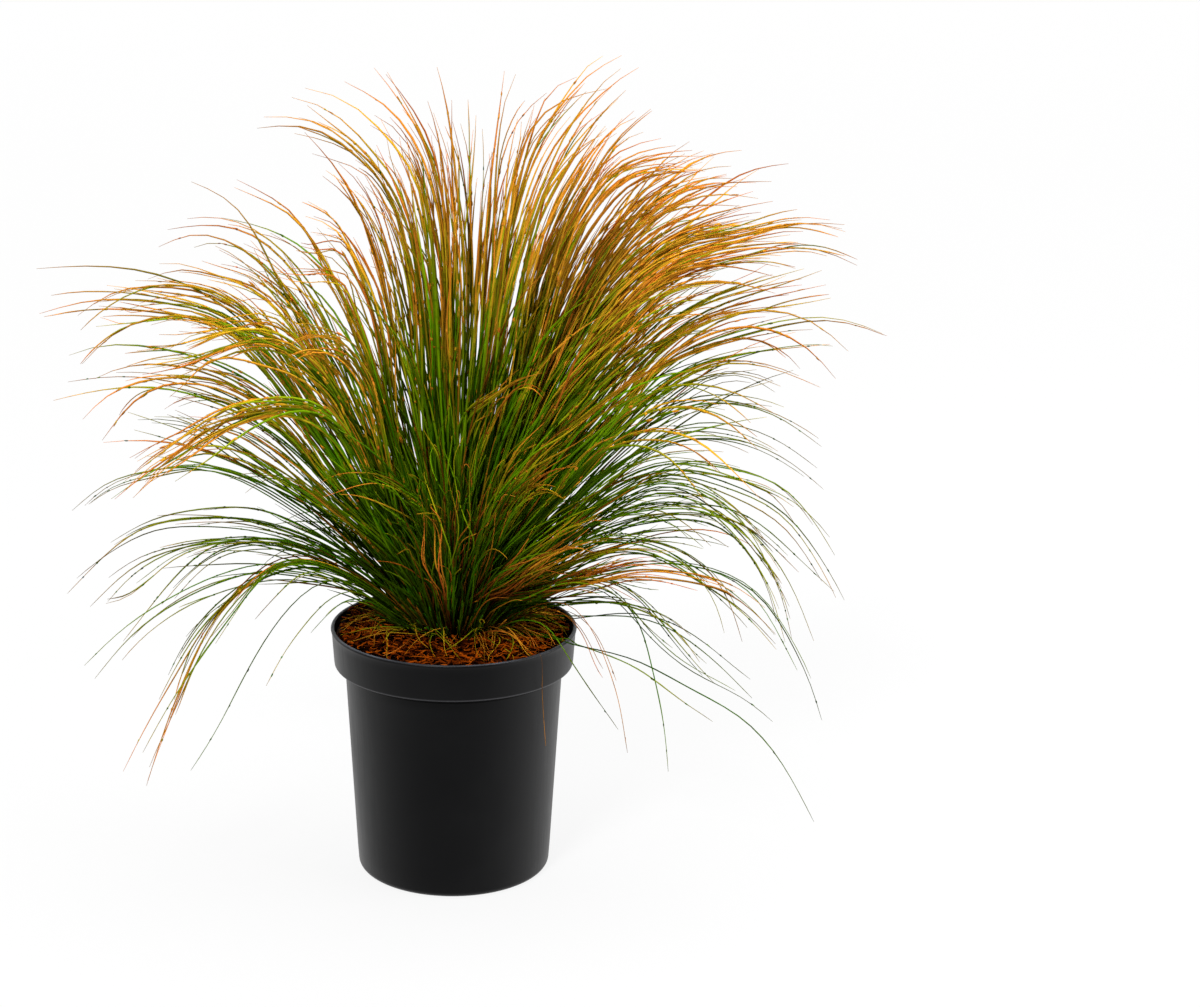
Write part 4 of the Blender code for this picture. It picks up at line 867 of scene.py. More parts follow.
def walk(lines, t):
    """Places at t (n, k), as shares of the length, on even lines (n, SAMPLES, 3)."""
    x = np.clip(t, 0, 1) * (SAMPLES - 1)
    i = np.minimum(x.astype(int), SAMPLES - 2)
    f = (x - i)[..., None]
    rows = np.arange(len(lines))[:, None]
    return lines[rows, i] * (1 - f) + lines[rows, i + 1] * f


def clear_of_pot(x):
    """Blades pass over the rim, not through it."""
    r = np.hypot(x[..., 0], x[..., 1]) / MM
    low = np.interp(r, [0, 20.5, 24, 41.5, 43.5, 47.0, 48.2, 49.0], [0, 92, 92.6, 93.6, 95.1, 95.1, 88.0, -50.0])
    x[..., 2] = np.maximum(x[..., 2], low * MM)
    return x


LIMIT_LO = np.array([-0.1430, -0.1060, 0.012])
LIMIT_HI = np.array([0.1460, 0.1410, 0.2960])


def hold_in(lines):
    """Pull in the few lines that reach past the plant's outline."""
    over = np.maximum(lines[..., :2] / LIMIT_HI[:2], lines[..., :2] / LIMIT_LO[:2]).max((1, 2))
    s = np.minimum(1.0, 1.0 / np.maximum(over, 1e-9))
    lines[..., :2] *= s[:, None, None]
    top = lines[..., 2].max(1)
    cut = np.minimum(1.0, (LIMIT_HI[2] - 0.09) / np.maximum(top - 0.09, 1e-9))
    lines[..., 2] = np.where(lines[..., 2] > 0.09, 0.09 + (lines[..., 2] - 0.09) * cut[:, None], lines[..., 2])
    return lines


def single_lines(rng, spec, n, turn, swing, short, lift=0.0, stiff=1.0):
    """Centre lines of n blades of a tuft, each a turned and shortened copy of the tuft's own."""
    name, ring, az, launch, reach, height, end = spec
    r0 = ROOT_RINGS[ring]
    tip = np.array([reach * MM - r0, height * MM - crown_height(r0)])
    daz = np.radians(rng.normal(0, turn, n))
    f = short + (0.93 - short) * rng.beta(1.5, 1.25, n)
    dl = np.radians(rng.normal(0, swing, n) - lift * (1 - f))
    l0, e0 = math.radians(launch), math.radians(end)
    wl = np.maximum(l0 + dl, math.radians(-2))
    we = wl + (e0 - l0) * f ** 1.25 * rng.uniform(0.80, 1.30, n) * stiff
    c, s = np.cos(dl), np.sin(dl)
    tx = f * (tip[0] * c + tip[1] * s)
    tz = f * (-tip[0] * s + tip[1] * c)
    chord = np.hypot(tx, tz)
    a = rng.uniform(0.38, 0.50, n) * chord
    b = rng.uniform(0.30, 0.42, n) * chord
    px = np.stack([0 * tx, np.sin(wl) * a, tx - np.sin(we) * b, tx], 1)
    pz = np.stack([0 * tz, np.cos(wl) * a, tz - np.cos(we) * b, tz], 1)
    t = np.linspace(0, 1, 2 * SAMPLES)[None]
    w = 1 - t
    basis = [w ** 3, 3 * w * w * t, 3 * w * t * t, t ** 3]
    x = sum(px[:, i:i + 1] * basis[i] for i in range(4))
    z = sum(pz[:, i:i + 1] * basis[i] for i in range(4))
    root_az = math.radians(az) + np.radians(SECTOR[ring]) * rng.uniform(-0.6, 0.6, n)
    root_r = np.clip(r0 + rng.normal(0, 2.2 * MM, n), 0.5 * MM, 20.0 * MM)
    root = crowd(flat(root_az) * root_r[:, None])
    root[:, 2] = crown_height(root_r) - 2.5 * MM
    blade_az = math.radians(az) + daz
    line = root[:, None] + flat(blade_az)[:, None] * x[..., None]
    line[..., 2] += z
    return hold_in(even(line)), blade_az, f


def bundle_line(az_deg, places, ring_r):
    az = math.radians(az_deg)
    r0 = ring_r / MM
    pts = [(r0 * 0.9, crown_height(ring_r) / MM - 2.5)]
    for x, y in places:
        r, z = sight(x, y, az)
        pts.append((r / MM, z / MM))
    if pts[1][1] < 97.0 and pts[1][0] < 44.0:           # stays above the litter where it starts low
        pts[1] = (pts[1][0], max(pts[1][1], 94.5))
    a, b = np.array(pts[0]), np.array(pts[1])
    d = b - a
    if np.linalg.norm(d) > 30:
        up = np.array([-d[1], d[0]]) / np.linalg.norm(d)
        up = up if up[1] > 0 or up[0] < 0 else -up
        pts.insert(1, tuple(a + 0.5 * d + up * 0.035 * np.linalg.norm(d)))
    rz = smooth_line(pts) * MM
    line = flat(np.array([az])) * rz[:, :1]
    line[:, 2] = rz[:, 1]
    gone = np.concatenate([[0], np.cumsum(np.linalg.norm(np.diff(rz, axis=0), axis=1))])
    stay = np.clip(1 - gone / (0.40 * gone[-1]), 0, 1)[:, None] ** 1.6
    return line + (crowd(line[:1]) - line[:1]) * stay


def sway(rng, n, f, length, amount, kinks, ripple=0.4):
    """Sideways and upward departures of each blade: a slow wander, ripples and a few small bends (m)."""
    out = []
    for scale in (0.010, 0.007):
        a = rng.uniform(0.5, 1.7, (n, 1))
        p = rng.uniform(0, 2 * np.pi, (n, 1))
        x = (np.sin(2 * np.pi * a * f + p) - np.sin(p)) * f ** 0.9 * scale * amount
        a = rng.uniform(1.8, 3.8, (n, 1))
        p = rng.uniform(0, 2 * np.pi, (n, 1))
        x = x + (np.sin(2 * np.pi * a * f + p) - np.sin(p)) * f * rng.uniform(0.2, 1.0, (n, 1)) * 0.0042 * ripple
        for _ in range(2):
            at = rng.uniform(0.25, 0.92, (n, 1))
            bend = np.clip(rng.normal(0, 0.05, (n, 1)), -0.07, 0.07) * (rng.uniform(size=(n, 1)) < kinks)
            x = x + 0.5 * (f - at + np.sqrt((f - at) ** 2 + 0.003)) * bend
        out.append(x * length)
    return out


def strands(soup, rng, lines, az, t0, t1, k, spread, radius, u, v=(0.0, 1.0), amount=1.0, kinks=0.3,
            start=None, sides=3, fine=0.14, point=0.22, loose=0.0, ripple=0.4, swirl=0.8, droop=0.0, seed=0):
    """Tubes along their centre lines. spread: (root, middle, tip) distances from the line, in metres."""
    n = len(lines)
    f = np.linspace(0, 1, k)[None]
    t0 = np.broadcast_to(np.asarray(t0, float), (n,))[:, None]
    t1 = np.broadcast_to(np.asarray(t1, float), (n,))[:, None]
    t = t0 + (t1 - t0) * f
    place = walk(lines, t)
    ahead = unit(walk(lines, np.minimum(t + 0.02, 1)) - walk(lines, np.maximum(t - 0.02, 0)))
    side = np.stack([-np.sin(az), np.cos(az), 0 * az], -1)[:, None]
    up = np.cross(side, ahead)
    root, mid, tip = (np.broadcast_to(np.asarray(s, float), (n,))[:, None] for s in spread)
    e = np.clip(t / 0.45, 0, 1)
    e = e * e * (3 - 2 * e)
    g = np.clip((t - 0.45) / 0.55, 0, 1)
    g = g * g * (3 - 2 * g)
    width = root + (mid - root) * e + (tip - mid) * g
    ang = rng.uniform(0, 2 * np.pi, (n, 1)) + rng.normal(0, swirl, (n, 1)) * f
    mag = np.sqrt(rng.uniform(0, 1, (n, 1)))
    a, b = np.cos(ang) * mag * width, np.sin(ang) * mag * width
    if start is not None:
        grow = f ** 0.9
        a, b = start[0][:, None] + (a - a[:, :1]) + a[:, :1] * grow, start[1][:, None] + b * grow
    length = np.linalg.norm(np.diff(place, axis=1), axis=2).sum(1)[:, None]
    da, db = sway(rng, n, f, length, amount, kinks, ripple)
    db = db - droop * rng.uniform(0.0, 1.0, (n, 1)) * length * np.maximum(0, f - 0.45) ** 2
    own = loose * length * f ** 2.2
    a = a + da + np.clip(rng.normal(0, 1.0, (n, 1)), -1.3, 1.3) * own
    b = b + db + np.clip(rng.normal(0, 0.8, (n, 1)), -1.0, 1.0) * own
    x = clear_of_pot(place + side * a[..., None] + up * b[..., None])
    taper = np.minimum(1.0, (1 - f) / point) ** 0.85
    grown = np.clip(0.82 + 2.2 * f, 0, 1)
    uneven = 1 + rng.uniform(-0.10, 0.10, (n, k))
    r = np.maximum(radius[:, None] * taper * grown * uneven, fine * MM)
    r[:, -1] *= 0.45
    top = 0.2980
    x[..., 2] = np.where(x[..., 2] > top, top + (x[..., 2] - top) * 0.55, x[..., 2])
    soup.tubes(x, r, u, v[0], v[1], sides=sides, seed=seed)
    return a, b, x, r


def beads(soup, rng, x, r, per, u, v, where=(0.35, 0.95), long=(1.2, 2.2), swell=(0.08, 0.18), splay=0.05, seed=0):
    """Nodes and florets: short thick pieces set on the strands x, r and leaning a little off them."""
    n, k = r.shape
    own = np.repeat(np.arange(n), rng.poisson(per, n))
    m = len(own)
    if m == 0:
        return
    at = rng.uniform(*where, m) * (k - 1)
    i = np.minimum(at.astype(int), k - 2)
    fr = (at - i)[:, None]
    place = x[own, i] * (1 - fr) + x[own, i + 1] * fr
    ahead = unit(x[own, i + 1] - x[own, i])
    off = np.cross(ahead, unit(rng.normal(size=(m, 3))))
    ahead = unit(ahead + off * rng.uniform(0.2, 1.0, (m, 1)) * splay)
    thick = r[own, i] * (1 - fr[:, 0]) + r[own, i + 1] * fr[:, 0] + rng.uniform(*swell, m) * MM
    s = np.array([-0.15, 0.2, 0.55, 1.0])[None]
    size = rng.uniform(*long, m)[:, None] * MM
    line = place[:, None] + ahead[:, None] * (s * size)[..., None]
    shape = np.array([0.35, 1.0, 0.85, 0.15])[None]
    soup.tubes(line, np.maximum(thick[:, None] * shape, 0.05 * MM), band_u(rng, m, u), v[0], v[1], seed=seed)


def band_u(rng, n, band):
    return rng.integers(*BANDS[band], n) * CELL + 0.0001


def mixed_u(rng, n, shares):
    names = list(shares)
    p = np.array([shares[k] for k in names], float)
    pick = rng.choice(len(names), n, p=p / p.sum())
    u = np.zeros(n)
    for i, k in enumerate(names):
        u = np.where(pick == i, band_u(rng, n, k), u)
    return u


# ring: blades, spread of azimuths, swing, shortest share, shares of the map's columns
FILL = {
    "upright": (7, 26, 4.0, 0.50, {"high": 0.80, "plume": 0.10, "low": 0.10}),
    "upper": (12, 15, 5.0, 0.45, {"high": 0.74, "plume": 0.08, "low": 0.18}),
    "middle": (18, 12, 6.0, 0.45, {"high": 0.44, "plume": 0.04, "low": 0.50, "dead": 0.02}),
    "lower": (24, 9, 7.5, 0.42, {"high": 0.12, "plume": 0.02, "low": 0.84, "dead": 0.02}),
}
FEWER = {"hanging_spray_left": 0, "hanging_tuft_left": 0, "hanging_tuft_front_left": 0,
         "hanging_tuft_front_right": 0, "hanging_strand_right": 0}
THINNER = {"lower_tuft_right_1": 7, "lower_tuft_right_2": 8, "lower_tuft_right_3": 5, "lower_tuft_right_4": 16,
           "lower_tuft_left_1": 6, "lower_tuft_left_2": 9, "lower_tuft_left_3": 4, "seed_spray_left": 6,
           "seed_spray_right": 11, "middle_tuft_left": 4, "seed_spray_back_left": 10, "upper_tuft_left_2": 8,
           "lower_tuft_back_5": 14}


def grow_tuft(index, spec, material):
    name, ring, az = spec[:3]
    rng = np.random.default_rng(1000 + index)
    soup = Soup()
    count, turn, swing, short, shares = FILL[ring]
    count = THINNER.get(name, FEWER.get(name, count))
    facing = max(0.0, -math.sin(math.radians(az)))         # 1 for the tufts that lean to the front
    ends_of_map = (BANDS["low"][0] * CELL + 0.0001, (BANDS["dead"][1] - 1) * CELL + 0.0001)
    if count:
        lines, blade_az, f = single_lines(rng, spec, count, turn, swing, short, lift=24.0 if ring == "lower" else 6.0,
                                          stiff=1 - 0.45 * facing ** 2)
        u = mixed_u(rng, count, shares)
        u[:2] = ends_of_map
        v1 = np.clip(0.42 + 0.56 * f - 0.24 * facing, 0.3, 1.0)
        thick = (0.23, 0.35) if ring == "lower" else (0.33, 0.48)
        _, _, x, r = strands(soup, rng, lines, blade_az, 0.0, 1.0, 20, (0.0, 0.4 * MM, 0.8 * MM),
                             rng.uniform(*thick, count) * MM, u, v=(0.0, v1), seed=index)
        beads(soup, rng, x, r, 2.5, "low", (0.10, 0.30), seed=index + 300)

    # short leaves that thicken the foot of the tuft
    near = 14 if ring == "middle" else 12 if ring == "lower" else 6
    if name in ("lower_tuft_left_1", "lower_tuft_left_2", "lower_tuft_left_3", "lower_tuft_right_2"):
        near = 6
    if name not in FEWER:
        foot = (name, ring, az, spec[3] * 0.92, 20 + 0.50 * (spec[4] - 20), 95 + 0.60 * (max(spec[5], 165) - 95),
                min(spec[6], spec[3] + 30))
        lines, blade_az, f = single_lines(rng, foot, near, turn * 1.3, swing * 1.3, 0.40, stiff=0.8)
        strands(soup, rng, lines, blade_az, 0.0, 1.0, 12, (0.0, 0.3 * MM, 0.5 * MM),
                rng.uniform(0.30, 0.42, near) * MM,
                mixed_u(rng, near, {"low": 0.90, "dead": 0.10}), v=(0.0, 0.30 + 0.30 * f), seed=index + 70)

    # wiry dead strands in front of the green ones
    wiry = 16 if ring == "lower" and facing > 0.5 and name not in FEWER else 0
    if wiry:
        foot = (name, ring, az, 24, 60, 176, 74)
        lines, blade_az, f = single_lines(rng, foot, wiry, 24, 16, 0.40)
        strands(soup, rng, lines, blade_az, 0.0, 1.0, 22, (0.5 * MM, 1.5 * MM, 2.5 * MM),
                rng.uniform(0.19, 0.28, wiry) * MM, np.where(rng.uniform(size=wiry) < 0.6, band_u(rng, wiry, "dead"), band_u(rng, wiry, "high")),
                v=(0.25, 0.55 + 0.3 * f), amount=2.6,
                kinks=1.0, loose=0.05, ripple=1.6, seed=index + 140)

    # bundles with their florets and hairs
    for b, (owner, b_az, kind, n, wide, places) in enumerate(BUNDLES):
        if owner != name:
            continue
        rng = np.random.default_rng(5000 + b)
        band, v0, v1, hairs, thick, nodes, node_band, node_long, lean_off = KINDS[kind]
        line = even(bundle_line(b_az, places, ROOT_RINGS[ring])[None])
        lines = np.repeat(line, n, 0)
        a = np.full(n, math.radians(b_az))
        if n > 4:
            n = int(round(4 + (n - 4) * 0.86))
            lines, a = lines[:n], a[:n]
        end = 1.0 - 0.50 * rng.beta(1.0, 1.9, n)
        end[0] = 1.0
        mid = np.full(n, wide * MM)
        mid[0] = 0.25 * MM
        tip = np.full(n, wide * 0.52 * MM)
        tip[0] = 0.1 * MM
        radius = rng.uniform(*thick, n) * MM
        radius[0] *= 1.10
        u = band_u(rng, n, band)
        if not count and n > 3:
            u[1:3] = ends_of_map
        loose = np.full((n, 1), 0.015)
        loose[0] = 0.0
        wander, ripple, swirl, off, fall = UNREST.get(kind, (0.8, 0.4, 0.8, 0.015, 0.0))
        loose[1:] = off
        fall = np.full((n, 1), fall)
        fall[0] = 0.0
        wander, ripple = np.full((n, 1), wander), np.full((n, 1), ripple)
        wander[0], ripple[0] = 0.35, 0.4
        bends = np.full((n, 1), 1.0 if kind in ("wire", "ember") else 0.50)
        bends[0] = 0.0
        late = np.full(n, v1)
        late[0] = 1.0 if band == "plume" else v1
        sa, sb, x, r = strands(soup, rng, lines, a, 0.0, end, RINGS, (2.0 * MM, mid, tip), radius, u,
                               v=(v0, late), amount=wander, kinks=bends,
                               loose=loose, ripple=ripple, swirl=swirl, droop=fall,
                               point=0.14 if kind in ("plume", "silk", "oat") else 0.22, seed=6000 + b)
        beads(soup, rng, x, r, nodes, node_band, {"dead": (0.35, 0.75), "plume": (0.66, 0.97)}.get(node_band, (0.20, 0.50)),
              where=(0.45, 0.96), long=node_long, splay=lean_off, seed=8000 + b)
        m = int(round(hairs * n))
        if m:
            own = rng.integers(0, n, m)
            ts = end[own] * rng.uniform(0.50, 0.90, m)
            te = np.minimum(ts + rng.uniform(0.08, 0.20, m), 1.0)
            at = np.clip(ts / end[own] * (RINGS - 1), 0, RINGS - 1.001)
            i = at.astype(int)
            fr = at - i
            oa = sa[own, i] * (1 - fr) + sa[own, i + 1] * fr
            ob = sb[own, i] * (1 - fr) + sb[own, i + 1] * fr
            strands(soup, rng, lines[own], a[own], ts, te, 8, (0.0, 1.0 * MM, 3.4 * MM),
                    rng.uniform(0.20, 0.28, m) * MM, band_u(rng, m, band), v=(0.55, 0.95), amount=0.5,
                    kinks=0.2, start=(oa, ob), seed=7000 + b)
    obj = soup.build(name + "_blades", material)
    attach(obj, "root")
    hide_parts(name)
    return obj


# =====================================================================================
# Pot
# =====================================================================================
def turned_shell(name, outer, inner, sides, material):
    """A closed turned shell: outer profile from the underside up, inner one from the rim down."""
    bm = bmesh.new()
    profile = outer + inner
    loops = []
    for r, z in profile:
        loops.append([bm.verts.new((r * math.cos(2 * math.pi * i / sides), r * math.sin(2 * math.pi * i / sides), z))
                      for i in range(sides)])
    for a, b in zip(loops, loops[1:]):
        for i in range(sides):
            j = (i + 1) % sides
            bm.faces.new((a[i], a[j], b[j], b[i]))
    bm.faces.new(list(reversed(loops[0])))
    bm.faces.new(loops[-1])
    bmesh.ops.recalc_face_normals(bm, faces=bm.faces)
    mesh = bpy.data.meshes.new(name)
    bm.to_mesh(mesh)
    bm.free()
    mesh.materials.append(material)
    obj = bpy.data.objects.new(name, mesh)
    SCENE.collection.objects.link(obj)
    return obj


def arc(cx, cz, r, a0, a1, n):
    return [(cx + r * math.cos(math.radians(a0 + (a1 - a0) * i / n)),
             cz + r * math.sin(math.radians(a0 + (a1 - a0) * i / n))) for i in range(n + 1)]


def make_pot():
    H, base_r, waist_r, low_r, rim_r = 94.2, 35.9, 40.4, 44.3, 45.5
    outer = [(31.0, 0.0), (33.0, 0.0)] + arc(base_r - 2.45, 2.5, 2.5, -90, -4, 9)
    for i in range(1, 16):
        z = 2.6 + (79.2 - 2.6) * i / 16
        outer.append((base_r + (waist_r - base_r) * z / 80.0, z))
    outer.append((base_r + (waist_r - base_r) * 77.9 / 80.0, 77.9))
    outer += [(waist_r - 0.02, 79.55), (waist_r + 0.14, 79.9), (waist_r + 0.55, 80.02), (low_r - 0.75, 80.0)]
    outer += arc(low_r - 0.62, 80.62, 0.62, -84, 2, 6)
    for i in range(1, 8):
        z = 80.8 + (92.2 - 80.8) * i / 7
        outer.append((low_r + (rim_r - 0.22 - low_r) * (z - 80) / (H - 80), z))
    outer += arc(rim_r - 0.72, H - 0.72, 0.72, -28, 90, 9)
    inner = arc(rim_r - 0.78, H - 0.6, 0.6, 94, 180, 6)
    for i in range(1, 5):
        z = 93.0 + (81.6 - 93.0) * i / 4
        inner.append((43.1 + (44.1 - 43.1) * (z - 81.2) / 12.0, z))
    inner += [(42.7, 81.25), (40.0, 81.2), (39.5, 81.0)]
    for i in range(1, 7):
        z = 80.0 + (3.0 - 80.0) * i / 6
        inner.append((base_r - 1.0 + (waist_r - base_r) * z / 80.0, z))
    inner += [(34.4, 1.9), (33.6, 1.25), (31.0, 1.2)]
    pot = turned_shell("nursery_pot", [(r * MM, z * MM) for r, z in outer],
                       [(r * MM, z * MM) for r, z in inner], 144, plastic_material())
    cut = bmesh.new()
    for k in range(6):
        a = 2 * math.pi * (k + 0.5) / 6
        cx, cy = 24 * MM * math.cos(a), 24 * MM * math.sin(a)
        prof = [(3.5, -2.0), (3.5, -0.01), (3.2, 0.35), (3.2, 3.4)]
        rings = [[cut.verts.new((cx + r * MM * math.cos(2 * math.pi * i / 28),
                                 cy + r * MM * math.sin(2 * math.pi * i / 28), z * MM)) for i in range(28)]
                 for r, z in prof]
        for p, q in zip(rings, rings[1:]):
            for i in range(28):
                j = (i + 1) % 28
                cut.faces.new((p[i], p[j], q[j], q[i]))
        cut.faces.new(list(reversed(rings[0])))
        cut.faces.new(rings[-1])
    mesh = bpy.data.meshes.new("cut")
    cut.to_mesh(mesh)
    cut.free()
    cutter = bpy.data.objects.new("cut", mesh)
    SCENE.collection.objects.link(cutter)
    mod = pot.modifiers.new("drain_holes", "BOOLEAN")
    mod.operation, mod.solver, mod.object = "DIFFERENCE", "EXACT", cutter
    done = bpy.data.meshes.new_from_object(pot.evaluated_get(bpy.context.evaluated_depsgraph_get()))
    pot.modifiers.clear()
    pot.data = done
    bpy.data.objects.remove(cutter)
    # painted shade: the wall right under the collar gets a far weaker specular tint, standing in for the collar's
    # shadow on it
    pot.data.materials.append(plastic_material("black_plastic_painted_shade_under_collar", (0.030, 0.030, 0.031, 1)))
    for face in pot.data.polygons:
        c = face.center
        if 78.2 * MM < c.z < 80.3 * MM and 39.9 * MM < math.hypot(c.x, c.y) < 43.5 * MM:
            face.material_index = 1
    pot.data.shade_smooth()
    pot.data.set_sharp_from_angle(angle=math.radians(38))
    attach(pot, "root")
    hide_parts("pot")
    return pot


# =====================================================================================
# Coir litter, crown and dead leaves
# =====================================================================================
def litter_top(r, az):
    across = np.clip((r - 21.2 * MM) / (22.1 * MM), 0, 1)
    heap = 0.5 + 0.5 * np.cos(az - math.radians(140.0))
    return 90.6 * MM + (1.1 * MM + 1.3 * MM * heap) * across


def make_litter(humus, coir):
    rng = np.random.default_rng(5)
    # dark bed
    bm = bmesh.new()
    sides, bands = 132, 30
    r_in, r_out = 2.0 * MM, 43.4 * MM
    rows = []
    phase = rng.uniform(0, 2 * np.pi, (7, 2))
    for b in range(bands + 1):
        r = r_in + (r_out - r_in) * b / bands
        row = []
        for i in range(sides):
            a = 2 * math.pi * i / sides
            x, y = r * math.cos(a), r * math.sin(a)
            z = float(litter_top(r, a)) - 1.1 * MM
            for j in range(7):
                q = 0.25 + 0.2 * j
                z += 0.30 * MM * math.sin(x / MM * q + phase[j, 0]) * math.sin(y / MM * q + phase[j, 1]) / (1 + 0.25 * j)
            if b == bands:
                z -= 0.6 * MM
            row.append(bm.verts.new((x, y, z)))
        rows.append(row)
    low_out = [bm.verts.new((v.co.x, v.co.y, 88.35 * MM)) for v in rows[-1]]
    low_in = [bm.verts.new((v.co.x, v.co.y, 88.35 * MM)) for v in rows[0]]
    for p, q in list(zip(rows, rows[1:])) + [(rows[-1], low_out), (low_out, low_in), (low_in, rows[0])]:
        for i in range(sides):
            j = (i + 1) % sides
            bm.faces.new((p[i], p[j], q[j], q[i]))
    bmesh.ops.recalc_face_normals(bm, faces=bm.faces)
    mesh = bpy.data.meshes.new("litter_bed")
    bm.to_mesh(mesh)
    bm.free()
    mesh.shade_smooth()
    mesh.materials.append(humus)
    bed = bpy.data.objects.new("litter_bed", mesh)
    SCENE.collection.objects.link(bed)
    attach(bed, "root")
    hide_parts("coir_litter")

    # curly fibres
    soup = Soup()
    n, k = 1650, 12
    r = np.sqrt(rng.uniform((4.0 / 43.0) ** 2, 1, n)) * 42.0 * MM
    az = rng.uniform(0, 2 * np.pi, n)
    length = rng.uniform(6.0, 14.0, n) * MM
    curl = rng.normal(0, 1, n)
    curl = np.sign(curl) * (0.7 + np.abs(curl)) * 2.6          # turn over the whole length, radians
    head = rng.uniform(0, 2 * np.pi, n)
    pitch = rng.normal(0, 0.20, n)
    steps = np.linspace(-0.5, 0.5, k)[None]
    wav = rng.uniform(0, 2 * np.pi, (n, 1))
    h = head[:, None] + curl[:, None] * steps + 0.55 * np.sin(2 * np.pi * rng.uniform(0.6, 1.5, (n, 1)) * steps + wav)
    el = pitch[:, None] + 0.42 * np.sin(2 * np.pi * rng.uniform(0.5, 1.3, (n, 1)) * steps + wav[::-1])
    seg = np.stack([np.cos(h) * np.cos(el), np.sin(h) * np.cos(el), np.sin(el)], -1)
    x = np.cumsum(seg, 1) * (length / k)[:, None, None]
    x -= x.mean(1, keepdims=True)
    cx, cy = r * np.cos(az), r * np.sin(az)
    x[..., 0] += cx[:, None]
    x[..., 1] += cy[:, None]
    rr = np.hypot(x[..., 0], x[..., 1])
    over = rr.max(1)
    pull = np.minimum(1.0, 42.7 * MM / over)
    x[..., :2] *= pull[:, None, None]
    aa = np.arctan2(x[..., 1], x[..., 0])
    ground = litter_top(np.hypot(x[..., 0], x[..., 1]), aa)
    layer = (-2.0 + 3.4 * rng.beta(1.15, 1.15, n)) * MM
    x[..., 2] = ground + layer[:, None] + np.clip(x[..., 2], -0.8 * MM, 1.5 * MM)
    rad = rng.uniform(0.32, 0.50, n) * MM * np.where(layer > 0, 1.15, 1.0)
    shape = np.clip(np.sin(np.pi * np.linspace(0.06, 0.94, k)) ** 0.45, 0.35, 1)[None]
    # painted shade: each fibre's map column follows how high it lies in the litter, so deeper fibres are painted darker
    high = np.clip((layer / MM + 2.0) / 3.4 + rng.normal(0, 0.10, n), 0, 1)
    soup.tubes(x, rad[:, None] * shape, 0.01 + 0.975 * high, 0.02, 0.98, seed=3)
    # longer, thinner and paler threads on top
    top = rng.permutation(n)[:210]
    y = x[top] + 0
    y[..., :2] = y[:, :1, :2] + 1.25 * (y[..., :2] - y[:, :1, :2])
    far = np.hypot(y[..., 0], y[..., 1]).max(1)
    y[..., :2] *= np.minimum(1.0, 42.7 * MM / far)[:, None, None]
    spot = np.arctan2(y[..., 1], y[..., 0]) + 0.5
    reach = np.hypot(y[..., 0], y[..., 1])
    y[..., 2] = (litter_top(reach, spot) + rng.uniform(0.9, 2.2, (210, 1)) * MM
                 + 0.5 * MM * np.sin(np.linspace(0, 3.0, k) + rng.uniform(0, 6, (210, 1))))
    y[..., 0], y[..., 1] = reach * np.cos(spot), reach * np.sin(spot)
    soup.tubes(y, rng.uniform(0.16, 0.25, (210, 1)) * MM * shape, np.full(210, 0.9945), 0.02, 0.98, seed=6)
    # granules
    m = 1500
    r = np.sqrt(rng.uniform((4.0 / 43.0) ** 2, 1, m)) * 42.4 * MM
    az = rng.uniform(0, 2 * np.pi, m)
    c = np.stack([r * np.cos(az), r * np.sin(az), litter_top(r, az) + rng.uniform(-1.8, 0.0, m) * MM], -1)
    soup.lumps(c, rng.uniform(0.35, 0.90, m) * MM, rng.uniform(0.01, 0.75, m), seed=4)
    fibres = soup.build("coir_fibres", coir)
    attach(fibres, "root")
    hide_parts("coir_litter")


def make_crown(material):
    """Leaf sheaths standing close together on the crown."""
    rng = np.random.default_rng(21)
    soup = Soup()
    n, k = 620, 6
    r = np.sqrt(rng.uniform(0, 1, n)) * 19.8 * MM
    az = rng.uniform(0, 2 * np.pi, n)
    out = r / (20 * MM)
    angle = np.radians(3 + 44 * out ** 1.4 + rng.normal(0, 6, n))
    length = rng.uniform(12, 30, n) * MM
    base = crowd(flat(az) * r[:, None])
    base[:, 2] = crown_height(r) - 4.5 * MM
    dirs = lean(az + rng.normal(0, 0.12, n), np.maximum(angle, 0.02))
    f = np.linspace(0, 1, k)[None, :, None]
    x = base[:, None] + dirs[:, None] * (length[:, None, None] * f)
    x += rng.normal(0, 0.5 * MM, (n, 1, 3)) * f ** 2
    rad = rng.uniform(0.42, 0.75, n)[:, None] * MM * np.linspace(1, 0.35, k)[None]
    kinds = rng.uniform(size=n)
    u = np.where(kinds < 0.40, band_u(rng, n, "low"), np.where(kinds < 0.52, band_u(rng, n, "dead"), band_u(rng, n, "sheath")))
    soup.tubes(x, rad, u, 0.0, np.where(kinds < 0.40, 0.26, np.where(kinds < 0.52, 0.4, 1.0)), sides=4, seed=9,
               u_step=0.0012)
    obj = soup.build("crown_sheaths", material)
    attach(obj, "root")
    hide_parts("crown")


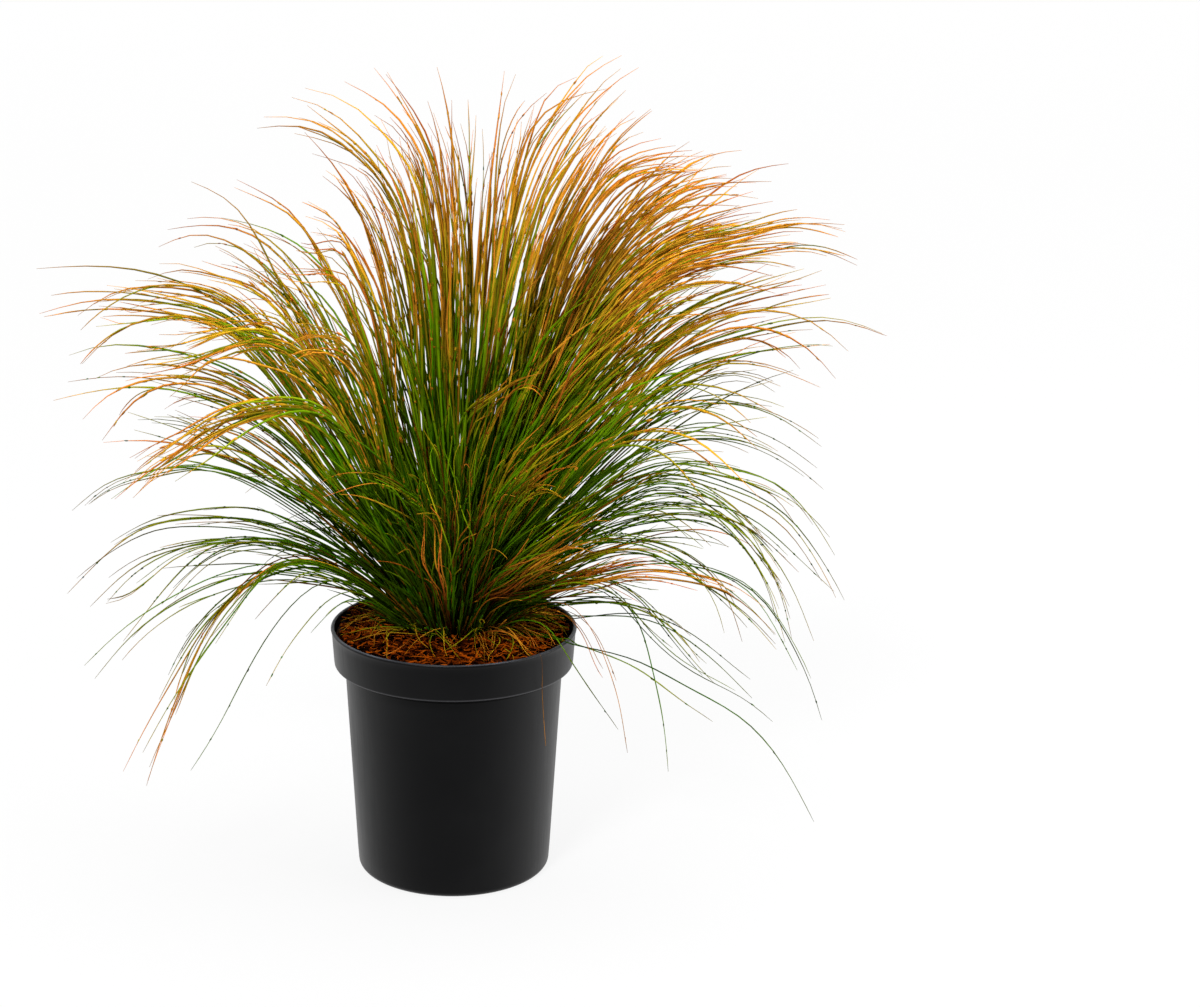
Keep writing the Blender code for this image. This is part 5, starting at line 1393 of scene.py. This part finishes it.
def lying_leaves(name, node_name, count, az_range, seed, material):
    """Dead leaves lying loosely over the litter and over one another."""
    rng = np.random.default_rng(seed)
    soup = Soup()
    n, k = count, 16
    az = np.radians(rng.uniform(*az_range, n))
    r0 = rng.uniform(9, 27, n) * MM
    length = rng.uniform(18, 44, n) * MM
    head = az + rng.normal(0, 0.95, n)
    f = np.linspace(0, 1, k)[None]
    bend = rng.normal(0, 0.65, (n, 1))
    wave = rng.uniform(0.08, 0.32, (n, 1)) * np.sin(2 * np.pi * rng.uniform(0.6, 1.6, (n, 1)) * f
                                                    + rng.uniform(0, 2 * np.pi, (n, 1)))
    h = head[:, None] + bend * (f - 0.2) + wave
    step = np.stack([np.cos(h), np.sin(h)], -1) * (length / (k - 1))[:, None, None]
    xy = np.cumsum(step, 1)
    xy = xy - xy[:, :1] + (crowd(flat(az) * r0[:, None])[:, :2])[:, None]
    rr = np.hypot(xy[..., 0], xy[..., 1])
    xy *= np.minimum(1.0, 42.6 * MM / rr.max(1))[:, None, None]
    rr = np.hypot(xy[..., 0], xy[..., 1])
    aa = np.arctan2(xy[..., 1], xy[..., 0])
    lift = rng.uniform(0.5, 2.0, (n, 1)) * MM
    arch = rng.uniform(0.0, 5.5, (n, 1)) * MM * np.sin(np.pi * f) ** 1.3
    z = np.minimum(litter_top(rr, aa) + lift + arch, 97.5 * MM)
    x = np.concatenate([xy, z[..., None]], -1)
    rad = rng.uniform(0.19, 0.31, n)[:, None] * MM * (0.25 + 0.75 * (1 - f ** 2) ** 0.8)
    kinds = rng.uniform(size=n)
    brown = kinds < 0.48
    u = np.where(brown, band_u(rng, n, "dead"), band_u(rng, n, "high"))
    soup.tubes(x, rad, u, np.where(brown, 0.10, 0.62), np.where(brown, 0.85, 0.86), seed=seed)
    obj = soup.build(name, material)
    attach(obj, "root")
    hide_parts(node_name)
    return obj


def make_hanging_leaf(material):
    soup = Soup()
    pts = [(30.0, 94.2, -52), (38.0, 95.6, -51), (44.2, 95.5, -50), (46.8, 95.0, -49), (47.6, 92.0, -48.5),
           (46.6, 83.0, -47), (44.6, 77.0, -44), (43.6, 68.0, -41), (42.4, 56.0, -37)]
    p = np.array([[r * MM * math.cos(math.radians(a)), r * MM * math.sin(math.radians(a)), z * MM] for r, z, a in pts])
    a = math.radians(-46.0)
    f = np.linspace(0, len(p) - 1, 26)
    x = np.stack([np.interp(f, np.arange(len(p)), p[:, i]) for i in range(3)], -1)
    for _ in range(2):
        x[1:-1] = 0.25 * x[:-2] + 0.5 * x[1:-1] + 0.25 * x[2:]
    rng = np.random.default_rng(2)
    side = np.array([-math.sin(a), math.cos(a), 0])
    x += side * (0.4 * MM * np.sin(np.linspace(0, 5, 26)))[:, None] + rng.normal(0, 0.02 * MM, x.shape)
    soup.tubes(x[None], (np.interp(np.arange(26), [0, 13, 16, 25], [0.05, 0.05, 0.12, 0.09]) * MM)[None],
               np.array([170 * CELL + 0.0001]), 0.0, 0.45, seed=1)
    obj = soup.build("hanging_dead_leaf_thread", material)
    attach(obj, "root")
    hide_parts("hanging_dead_leaf")


# =====================================================================================
make_camera()
make_studio()
GRASS = grass_material()
COIR = coir_material()
HUMUS = humus_material("humus_bed")
make_pot()
make_litter(HUMUS, COIR)
make_crown(GRASS)
lying_leaves("thatch_right_leaves", "dead_leaf_thatch_right", 112, (-62, 50), 31, GRASS)
lying_leaves("thatch_left_leaves", "dead_leaf_thatch_left", 44, (130, 250), 32, GRASS)
make_hanging_leaf(GRASS)
for number, tuft in enumerate(TUFTS):
    grow_tuft(number, tuft, GRASS)

mix = NODES["potting_mix"]
for s in mix.material_slots:
    s.material = humus_material("potting_mix_body", 1.2)
